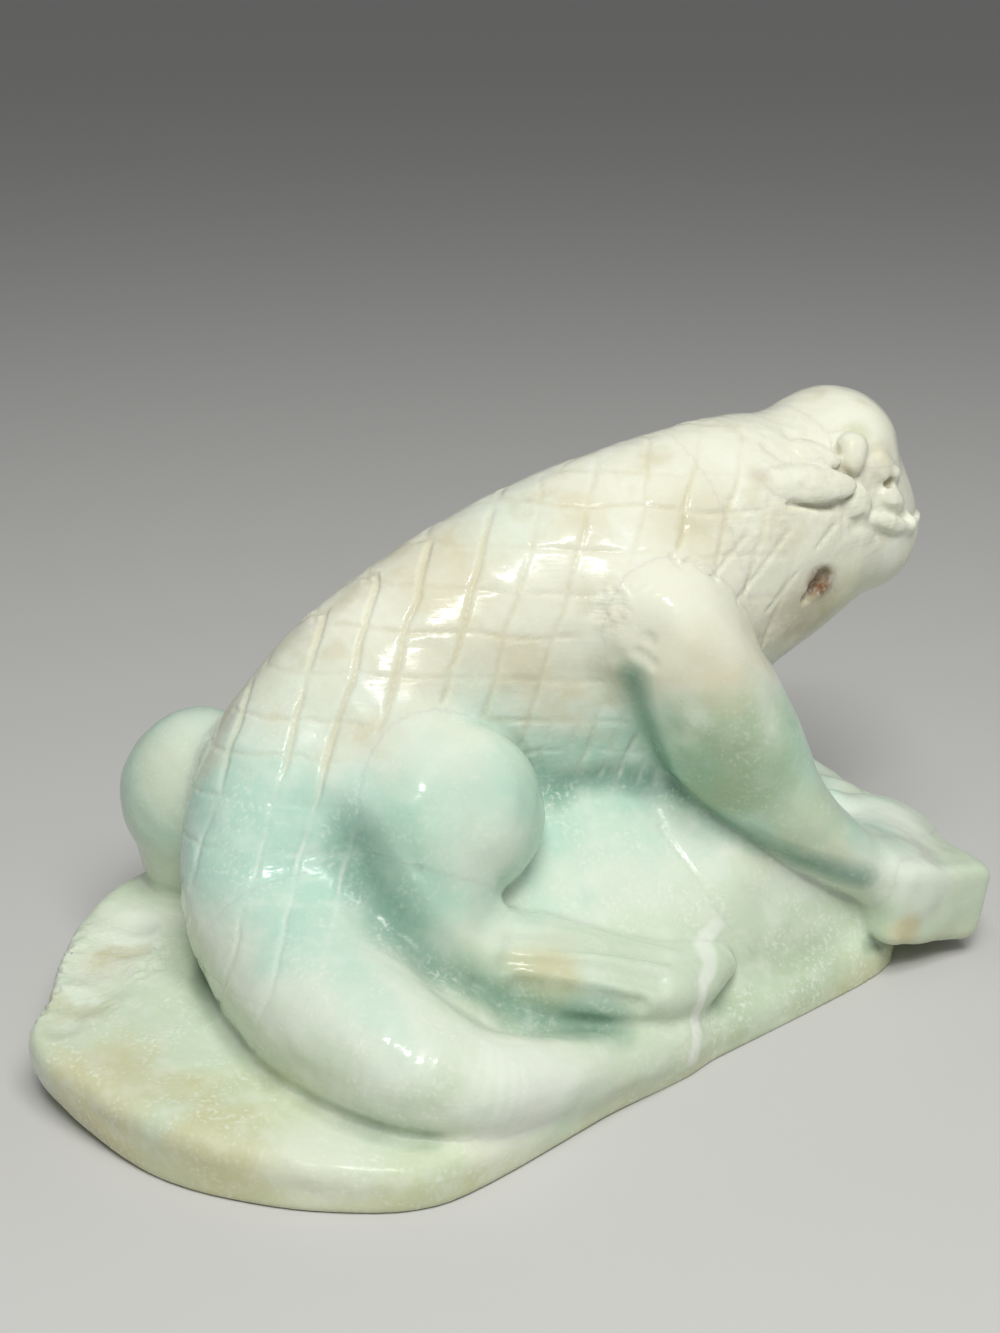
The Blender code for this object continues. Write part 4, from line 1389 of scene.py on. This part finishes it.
class Tints:
    """The layers of the stone's colour, with the shade painted into it, laid one over the other in a node
    tree.
    """

    def __init__(self, net, given, colours):
        self.net = net
        self.given = given
        self.tint = {name: (*getattr(colours, name), 1) for name in LizardColours.__annotations__}
        self.place = given["Place"]
        self.height = net.add("ShaderNodeSeparateXYZ", {0: self.place}).outputs[2]
        self.slow = net.sway(self.place, SLOW_NOISE)
        self.quick = net.sway(self.place, *QUICK_NOISE)
        self.ragged = net.times(net.maths("ADD", self.slow, self.quick), RAGGED_EDGE)
        self.warm = net.step(self.height, *WARM_STONE)
        self.colour = self.bands()

    def cover(self, share, colour):
        """Lays a colour, by its name or as a socket, over what is there."""
        over = self.tint[colour] if isinstance(colour, str) else colour
        self.colour = self.net.mix(share, self.colour, over)

    def bands(self):
        """The bands of the block, which wander up and down."""
        net = self.net
        shifted = net.maths("MULTIPLY_ADD", self.slow, SLOW_SHIFT, self.height)
        shifted = net.maths("MULTIPLY_ADD", self.quick, QUICK_SHIFT, shifted)
        top = BANDS[-1][0]
        ramp = net.add("ShaderNodeValToRGB", {0: net.maths("DIVIDE", shifted, top * MM)})
        stops = ramp.color_ramp.elements
        for index, (level, name) in enumerate(BANDS):
            stop = stops[index] if index < 2 else stops.new(level / top)
            stop.position = level / top
            stop.color = self.tint[name]
        return ramp.outputs[0]

    def limbs_and_patches(self, spots):
        """Green low on the limbs, and the patches of colour at these spots."""
        net = self.net
        low = net.step(self.height, *GREEN_LIMBS)
        self.cover(net.times(self.given["Limb"], low, COVER["limb"]), "sage")
        for spot, (_, reach, name, strength) in zip(spots, PATCHES.values()):
            gap = net.vectors("DISTANCE", self.place, tuple(spot * MM)).outputs["Value"]
            gap = net.maths("ADD", net.maths("DIVIDE", gap, reach * MM), self.ragged)
            self.cover(net.step(gap, *PATCH_EDGE, 0.0, strength), name)

    def streaks_and_shades(self):
        """Streaks in the warm stone of the body, and the painted shade of the dark green bands."""
        net = self.net
        shade = self.given["Shade"]
        for name, edges in STREAKS.items():
            plain = net.times(self.warm, net.maths("SUBTRACT", 1.0, self.given["Limb"]))
            self.cover(net.times(net.step(self.quick, *edges), plain), name)
        dim = net.maths("MULTIPLY_ADD", self.ragged, RAGGED_SHADE, shade)
        self.cover(net.times(dim, COVER["shade"], net.step(shade, *SHADE_EDGE)), "deep")

    def clouds(self):
        """White clouds and grains, mostly in the cool stone."""
        net = self.net
        clouds = net.step(net.noise(self.place, *CLOUD_NOISE), *CLOUD_STEP)
        grains = net.step(net.noise(self.place, *GRAIN_NOISE), *GRAIN_STEP)
        patchy = net.step(net.noise(self.place, GRAIN_PATCH_NOISE), *GRAIN_PATCH_STEP)
        white = net.maths("MAXIMUM", clouds, net.times(grains, patchy))
        below = net.times(net.step(self.height, *CLOUDED_STONE), self.given["Crystal"])
        self.cover(net.times(white, below), "crystal")

    def vein(self, path):
        """A white vein along straight legs, seen from the front."""
        net = self.net
        ends = [tuple(spot * MM) for spot in path]
        for start, end in zip(ends, ends[1:]):
            middle = [(a + b) / 2 for a, b in zip(start, end)]
            half = math.dist(start, end) / 2
            side = np.cross(np.subtract(end, start), (0, 1, 0))
            side = tuple(side / np.linalg.norm(side))
            gap = net.vectors("DISTANCE", self.place, middle).outputs["Value"]
            away = net.vectors("SUBTRACT", self.place, middle).outputs[0]
            off = net.vectors("DOT_PRODUCT", away, side).outputs["Value"]
            off = net.maths("ABSOLUTE", net.maths("MULTIPLY_ADD", self.quick, VEIN_WANDER, off))
            length = net.step(gap, *(half * share for share in VEIN_ENDS))
            self.cover(net.times(net.step(off, *VEIN_EDGE), length, COVER["vein"]), "crystal")

    def dust_mottles_and_crease_shade(self):
        """Dust in the cuts, mottles on raw stone and painted shade in the creases."""
        net = self.net
        tint = self.tint
        dusty = net.mix(self.warm, tint["crystal"], tint["tan"])
        self.cover(net.times(self.given["Cut"], COVER["cut"]), dusty)
        mottle = net.mix(net.step(self.quick, *MOTTLE_STEP), tint["tan"], tint["crystal"])
        self.cover(net.times(self.given["Raw"], COVER["raw"]), mottle)
        # Painted shade: the creases darkened, green in the cool stone and brown in the warm
        crease = net.times(net.step(self.given["Hollow"], *CREASE_STEP), COVER["crease"])
        self.cover(crease, net.mix(self.warm, tint["crease"], tint["bark"]))


def stone_colour(carving, colours):
    """A node group for the banded colour of the stone, with its patches, vein and cuts, and painted shade
    in the creases and dark bands.
    """
    facts = ("Hollow", "Shade", "Cut", "Raw", "Limb", "Crystal")
    inputs = (("Vector", ("Place",)), ("Float", facts))
    tree, net, given = open_tree("Stone colour", "ShaderNodeTree", inputs, (("Color", ("Color",)),))
    tints = Tints(net, given, colours)
    tints.limbs_and_patches(carving.stone.detail.patches)
    tints.streaks_and_shades()
    tints.clouds()
    tints.vein(carving.stone.detail.vein)
    tints.dust_mottles_and_crease_shade()
    net.add("NodeGroupOutput", {0: tints.colour})
    return tree


# The polish: dullness without gloss, what gloss takes off it and what dulls the stone
DULLNESS = 0.58
GLOSS_SHARE = 0.5
DULLED_BY = {"Hollow": 0.25, "Cut": 0.2, "Raw": 0.3}
DULL_NOISE = (210.0, 3.0)
DULL_SPREAD = 0.4
DULLEST = 0.9
# The unevenness left in the polish: noise, drawn-out marks, pits, and how far raw stone is rougher
FINE_NOISE = (1400.0, 3.0)
DRAWN_OUT = (260.0, 260.0, 2600.0)
PIT_SCALE = 620.0
PIT_STEP = (0.05, 0.22)
PIT_SHARE = 0.5
FINE_SHARE = 0.5
RAW_SHARE = 4.0
BUMP_STRENGTH = 0.18
BUMP_DISTANCE = 0.0002
STONE_BENDING = 1.54
GLOW_RADIUS = (0.8, 1.0, 0.75)
GLOW_SCALE = 0.0008
# Each finish of the stone: white clouds, gloss and glow
FINISHES = {
    "body_stone": (0.42, 0.8, 0.2),
    "limb_stone": (0.22, 0.82, 0.25),
    "rock_stone": (0.5, 0.8, 0.25),
}


def stone_polish():
    """A node group for how the polish varies, and for the fine unevenness that is left in it."""
    inputs = (("Vector", ("Place",)), ("Float", ("Hollow", "Cut", "Raw", "Gloss")))
    outputs = (("Float", ("Roughness", "Height")),)
    tree, net, given = open_tree("Stone polish", "ShaderNodeTree", inputs, outputs)
    place = given["Place"]
    dull = net.maths("SUBTRACT", DULLNESS, net.times(given["Gloss"], GLOSS_SHARE))
    for name, share in DULLED_BY.items():
        dull = net.maths("MULTIPLY_ADD", given[name], share, dull)
    dull = net.maths("MULTIPLY_ADD", net.sway(place, *DULL_NOISE), DULL_SPREAD, dull)
    drawn_out = net.vectors("MULTIPLY", place, DRAWN_OUT).outputs[0]
    fine = net.maths("ADD", net.noise(place, *FINE_NOISE), net.noise(drawn_out, 1.0))
    fine = net.times(fine, net.maths("MULTIPLY_ADD", given["Raw"], RAW_SHARE, FINE_SHARE))
    pits = net.add("ShaderNodeTexVoronoi", {"Vector": place, "Scale": PIT_SCALE}).outputs["Distance"]
    height = net.maths("MULTIPLY_ADD", net.step(pits, *PIT_STEP), PIT_SHARE, fine)
    net.add("NodeGroupOutput", {"Roughness": net.maths("MINIMUM", dull, DULLEST), "Height": height})
    return tree


def stone_material(name, colour, polish, crystal, gloss, glow):
    """A polished stone finish, from the shared groups and its own values."""
    made = bpy.data.materials.new(name)
    made.use_nodes = True
    tree = made.node_tree
    tree.nodes.clear()
    net = Wiring(tree)
    place = net.add("ShaderNodeTexCoord").outputs["Object"]
    given = {"Place": place, "Crystal": crystal, "Gloss": gloss}
    for fact in FINISH_FACTS:
        given[fact.title()] = net.add("ShaderNodeAttribute", attribute_name=fact).outputs["Fac"]
    tinted = net.add("ShaderNodeGroup", node_tree=colour)
    worn = net.add("ShaderNodeGroup", node_tree=polish)
    for node in (tinted, worn):
        for key, value in given.items():
            if key in node.inputs:
                net.feed(node.inputs[key], value)
    bump = net.add("ShaderNodeBump", {
        "Strength": BUMP_STRENGTH,
        "Distance": BUMP_DISTANCE,
        "Height": worn.outputs["Height"],
    })
    shader = net.add("ShaderNodeBsdfPrincipled", {
        "Base Color": tinted.outputs["Color"],
        "Roughness": worn.outputs["Roughness"],
        "Normal": bump.outputs[0],
        "IOR": STONE_BENDING,
        "Subsurface Weight": glow,
        "Subsurface Radius": GLOW_RADIUS,
        "Subsurface Scale": GLOW_SCALE,
    })
    net.add("ShaderNodeOutputMaterial", {"Surface": shader.outputs[0]})
    return made


def length_property(label, about, metres, digits):
    return FloatProperty(name=label, description=about, default=metres, unit="LENGTH", precision=digits)


def way_property(label, about, way):
    return FloatVectorProperty(name=label, description=about, default=way, subtype="DIRECTION")


def power_property(label, about, watts):
    return FloatProperty(name=label, description=about, default=watts, unit="POWER")


def colour_property(label, about, colour):
    return FloatVectorProperty(
        name=label, description=about, default=colour, subtype="COLOR", min=0, max=1
    )


class LizardSizes(bpy.types.PropertyGroup):
    """Sizes of the net of cells and of the cut scales."""

    grid_step: length_property("Cell", "Side of one cell of the carving", 0.00036, 5)
    scale_pitch: length_property("Scale pitch", "Between two slanted cuts", 0.0050, 4)
    scale_slant: way_property("Scale slant", "Way across the slanted cuts", (0.90, -0.32, -0.29))
    cross_pitch: length_property("Cross pitch", "Between two level cuts", 0.0046, 4)
    cross_slant: way_property("Cross slant", "Way across the level cuts", (0.13, 0.22, 0.97))
    mid_plane: length_property("Mid plane", "Where the body's two sides meet", 0.0205, 4)
    cut_width: length_property("Cut width", "Half the width of one cut", 0.00042, 5)
    cut_depth: length_property("Cut depth", "Depth of a slanted cut", 0.00036, 5)
    cross_depth: length_property("Cross depth", "Depth of a level cut", 0.00017, 5)
    wobble: length_property("Wobble", "How far a cut wanders", 0.0017, 4)
    seed: IntProperty(name="Seed", description="Draws another set of cuts", default=3)


class LizardColours(bpy.types.PropertyGroup):
    """Colours of the stone."""

    cream: colour_property("Cream", "Pale warm stone of the head and back", (0.77, 0.78, 0.65))
    beige: colour_property("Beige", "Warm stone between the cream and the cool bands", (0.68, 0.68, 0.54))
    tan: colour_property("Tan", "Stained streaks on the back and the shoulder", (0.58, 0.53, 0.34))
    ice: colour_property("Ice", "Cool pale stone", (0.68, 0.76, 0.65))
    aqua: colour_property("Aqua", "Blue-green band round the rump and the mound", (0.47, 0.68, 0.57))
    jade: colour_property("Jade", "Green stone", (0.30, 0.50, 0.36))
    # Painted shade, partly green stone: the dark colour of the bands by the thigh, along the foreleg and
    # under the belly
    deep: colour_property("Deep", "Dark green stone of the valley by the thigh", (0.15, 0.30, 0.22))
    sage: colour_property("Sage", "Grey-green of the forelegs", (0.34, 0.45, 0.27))
    pale_green: colour_property("Pale green", "Pale green of the tail and the rock", (0.60, 0.70, 0.54))
    moss: colour_property("Moss", "Yellow-green foot of the rock", (0.58, 0.61, 0.38))
    ochre: colour_property("Ochre", "Iron stain", (0.60, 0.50, 0.24))
    rust: colour_property("Rust", "Dark iron stain in the pits", (0.17, 0.08, 0.03))
    crystal: colour_property("Crystal", "White clouds and the vein", (0.82, 0.86, 0.78))
    crease: colour_property("Crease", "Green shade in the creases", (0.05, 0.14, 0.07))
    bark: colour_property("Bark", "Brown shade in the creases of the cream stone", (0.34, 0.27, 0.14))


class LizardStudio(bpy.types.PropertyGroup):
    """The floor and the lights."""

    floor_colour: colour_property("Floor", "Colour of the floor", (0.58, 0.58, 0.57))
    key_power: power_property("Key light", "Large light above and in front", 1.95)
    glint_power: power_property("Glint light", "Small light for the glints of the polish", 0.36)
    sky: FloatProperty(name="Sky", description="Strength of the light from all round", default=0.185)


# What the first operator works out, for those that finish the pieces
bench = {}


def cut_scales(carving, sizes, material):
    """Runs the node tree of the scales on the whole surface."""
    mesh = carving.surface_mesh()
    whole = bpy.data.objects.new("stone_surface", mesh)
    bpy.context.scene.collection.objects.link(whole)
    tree = scale_tree()
    modifier = whole.modifiers.new("Scale cuts", "NODES")
    modifier.node_group = tree
    values = {
        "Pitch": sizes.scale_pitch,
        "Slant": sizes.scale_slant,
        "Cross Pitch": sizes.cross_pitch,
        "Cross": sizes.cross_slant,
        "Mid Plane": sizes.mid_plane,
        "Width": sizes.cut_width,
        "Depth": sizes.cut_depth,
        "Cross Depth": sizes.cross_depth,
        "Wobble": sizes.wobble,
        "Seed": sizes.seed,
        "Material": material,
    }
    for socket in tree.interface.items_tree:
        if socket.in_out == "INPUT" and socket.name in values:
            modifier[socket.identifier] = values[socket.name]
    graph = bpy.context.evaluated_depsgraph_get()
    made = bpy.data.meshes.new_from_object(whole.evaluated_get(graph))
    whole.modifiers.remove(modifier)
    carving.take_back(made)
    bpy.data.objects.remove(whole)
    bpy.data.meshes.remove(mesh)
    bpy.data.meshes.remove(made)


def finish_piece(name, slot):
    """Sets one mass of the carving in its place, in its own finish."""
    if "carving" not in bench:
        raise RuntimeError("rough out the stone before its pieces are finished")
    piece = bpy.data.objects.new(f"{name}_stone", bench["carving"].piece_mesh(name))
    bpy.context.scene.collection.objects.link(piece)
    piece.data.materials.append(bench[slot])
    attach(piece, BODY)
    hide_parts(name)
    return piece


class LIZARD_OT_rough_out(bpy.types.Operator):
    """Works the whole stone out as one surface and cuts the net of scales into it"""

    bl_idname = "lizard.rough_out"
    bl_label = "Rough Out the Stone"

    def execute(self, context):
        sizes = context.scene.lizard_sizes
        carving = Carving(sizes.grid_step / MM * (1))
        colour = stone_colour(carving, context.scene.lizard_colours)
        polish = stone_polish()
        bench["carving"] = carving
        for slot, values in FINISHES.items():
            label = slot.replace("_", " ").capitalize()
            bench[slot] = stone_material(label, colour, polish, *values)
        cut_scales(carving, sizes, bench["body_stone"])
        return {"FINISHED"}


class LIZARD_OT_finish_rock(bpy.types.Operator):
    """Finishes the rock: its slab and its mound"""

    bl_idname = "lizard.finish_rock"
    bl_label = "Finish Rock"

    def execute(self, context):
        flatten_foot(finish_piece("rock_base", "rock_stone"))
        return {"FINISHED"}


class LIZARD_OT_finish_body(bpy.types.Operator):
    """Finishes the torso, the tail and the head"""

    bl_idname = "lizard.finish_body"
    bl_label = "Finish Body"

    def execute(self, context):
        for name in SPINE_MASSES:
            finish_piece(name, "body_stone")
        return {"FINISHED"}


class LIZARD_OT_finish_face(bpy.types.Operator):
    """Finishes the brow crest, the eyes and the ridges of the cheeks"""

    bl_idname = "lizard.finish_face"
    bl_label = "Finish Face"

    def execute(self, context):
        finish_piece("brow_crest", "body_stone")
        for side in SIDES:
            finish_piece(f"{side}_eye", "body_stone")
            finish_piece(f"{side}_cheek_ridge", "body_stone")
        return {"FINISHED"}


class LIZARD_OT_finish_hind_legs(bpy.types.Operator):
    """Finishes the thighs and the hind feet"""

    bl_idname = "lizard.finish_hind_legs"
    bl_label = "Finish Hind Legs"

    def execute(self, context):
        for side in SIDES:
            finish_piece(f"{side}_thigh", "limb_stone")
            finish_piece(f"{side}_hind_foot", "limb_stone")
        return {"FINISHED"}


class LIZARD_OT_finish_forelegs(bpy.types.Operator):
    """Finishes the forelegs and the forefeet"""

    bl_idname = "lizard.finish_forelegs"
    bl_label = "Finish Forelegs"

    def execute(self, context):
        for side in SIDES:
            finish_piece(f"{side}_foreleg", "limb_stone")
            finish_piece(f"{side}_forefoot", "limb_stone")
        return {"FINISHED"}


FOOT_FLAT = 0.02 * MM


def flatten_foot(rock):
    """Makes the rock's ground face of a few large faces."""
    shape = bmesh.new()
    shape.from_mesh(rock.data)
    flat = min(vertex.co.z for vertex in shape.verts) + FOOT_FLAT

    def under():
        return [face for face in shape.faces if all(vertex.co.z < flat for vertex in face.verts)]

    if under():
        bmesh.ops.dissolve_faces(shape, faces=under(), use_verts=False)
        bmesh.ops.triangulate(shape, faces=under())
    shape.to_mesh(rock.data)
    shape.free()


# The stage, in metres: the floor, what the lights look at, and each light's place, size and colour
FLOOR_HALF = 5
FLOOR_ROUGHNESS = 0.85
LIGHT_TARGET = (0, 0.01, 0.03)
KEY_LIGHT = ((-0.02, -0.22, 0.44), (0.28, 0.28), (1, 0.99, 0.96))
GLINT_LIGHT = ((-0.09, -0.26, 0.40), (0.11, 0.03), (1, 1, 0.99))
CLIP_START = 0.005


def area_light(name, power, place, size, colour):
    """A light of this length and height that looks at the carving."""
    lamp = bpy.data.lights.new(name, "AREA")
    lamp.shape = "RECTANGLE"
    lamp.size, lamp.size_y = size
    lamp.energy = power
    lamp.color = colour
    holder = bpy.data.objects.new(name, lamp)
    holder.location = place
    way = Vector(LIGHT_TARGET) - Vector(place)
    holder.rotation_euler = way.to_track_quat("-Z", "Y").to_euler()
    bpy.context.scene.collection.objects.link(holder)
    return holder


def paper_floor(colour):
    """A large sheet of paper under the carving."""
    sheet = bpy.data.meshes.new("floor")
    corners = [(-1, -1), (1, -1), (1, 1), (-1, 1)]
    places = [(x * FLOOR_HALF, y * FLOOR_HALF, CAD_BOX[0][2]) for x, y in corners]
    sheet.from_pydata(places, [], [(0, 1, 2, 3)])
    paper = bpy.data.materials.new("Floor paper")
    paper.use_nodes = True
    shader = paper.node_tree.nodes["Principled BSDF"]
    shader.inputs["Base Color"].default_value = (*colour, 1)
    shader.inputs["Roughness"].default_value = FLOOR_ROUGHNESS
    sheet.materials.append(paper)
    floor = bpy.data.objects.new("floor", sheet)
    bpy.context.scene.collection.objects.link(floor)
    return floor


def photo_camera():
    """The camera of the photograph."""
    right, up, back, place = camera_axes()
    lens = bpy.data.cameras.new("camera")
    lens.lens = LENS_MM
    lens.sensor_width = SENSOR_MM
    lens.sensor_fit = "AUTO"
    lens.clip_start = CLIP_START
    camera = bpy.data.objects.new("camera", lens)
    bpy.context.scene.collection.objects.link(camera)
    turn = Matrix((right, up, back)).transposed().to_4x4()
    camera.matrix_world = Matrix.Translation(Vector(place) * MM) @ turn
    return camera


class LIZARD_OT_set_stage(bpy.types.Operator):
    """Sets the floor, the lights and the camera"""

    bl_idname = "lizard.set_stage"
    bl_label = "Set Stage"

    def execute(self, context):
        scene = context.scene
        studio = scene.lizard_studio
        floor = paper_floor(studio.floor_colour)
        world = bpy.data.worlds.new("Studio")
        world.use_nodes = True
        sky = world.node_tree.nodes["Background"]
        sky.inputs["Color"].default_value = (1, 1, 1, 1)
        sky.inputs["Strength"].default_value = studio.sky
        scene.world = world
        scene.view_settings.view_transform = "Standard"
        lights = [
            area_light("key light", studio.key_power, *KEY_LIGHT),
            area_light("glint light", studio.glint_power, *GLINT_LIGHT),
        ]
        lights[0].visible_glossy = False
        camera = photo_camera()
        scene.camera = camera
        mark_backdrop(floor, camera, *lights)
        return {"FINISHED"}


STEPS_IN_ORDER = (
    LIZARD_OT_rough_out,
    LIZARD_OT_finish_rock,
    LIZARD_OT_finish_body,
    LIZARD_OT_finish_face,
    LIZARD_OT_finish_hind_legs,
    LIZARD_OT_finish_forelegs,
    LIZARD_OT_set_stage,
)


class LIZARD_PT_carving(bpy.types.Panel):
    """Lists the steps of the carving, its sizes and its colours"""

    bl_idname = "LIZARD_PT_carving"
    bl_label = "Carved Stone Lizard"
    bl_space_type = "VIEW_3D"
    bl_region_type = "UI"
    bl_category = "Lizard"

    def draw(self, context):
        for step in STEPS_IN_ORDER:
            self.layout.operator(step.bl_idname)
        scene = context.scene
        for group in (scene.lizard_sizes, scene.lizard_colours, scene.lizard_studio):
            column = self.layout.column()
            for name in group.__annotations__:
                column.prop(group, name)


CLASSES = (LizardSizes, LizardColours, LizardStudio, *STEPS_IN_ORDER, LIZARD_PT_carving)


def register():
    for kind in CLASSES:
        bpy.utils.register_class(kind)
    bpy.types.Scene.lizard_sizes = PointerProperty(type=LizardSizes)
    bpy.types.Scene.lizard_colours = PointerProperty(type=LizardColours)
    bpy.types.Scene.lizard_studio = PointerProperty(type=LizardStudio)


def unregister():
    for name in ("lizard_sizes", "lizard_colours", "lizard_studio"):
        delattr(bpy.types.Scene, name)
    for kind in reversed(CLASSES):
        bpy.utils.unregister_class(kind)


def main():
    register()
    bpy.ops.lizard.rough_out()
    bpy.ops.lizard.finish_rock()
    bpy.ops.lizard.finish_body()
    bpy.ops.lizard.finish_face()
    bpy.ops.lizard.finish_hind_legs()
    bpy.ops.lizard.finish_forelegs()
    bpy.ops.lizard.set_stage()
    boxes = {"cad": CAD_BOX, "visual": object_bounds()}
    sizes = {name: [list(low), list(high)] for name, (low, high) in boxes.items()}


if __name__ == "__main__":
    main()
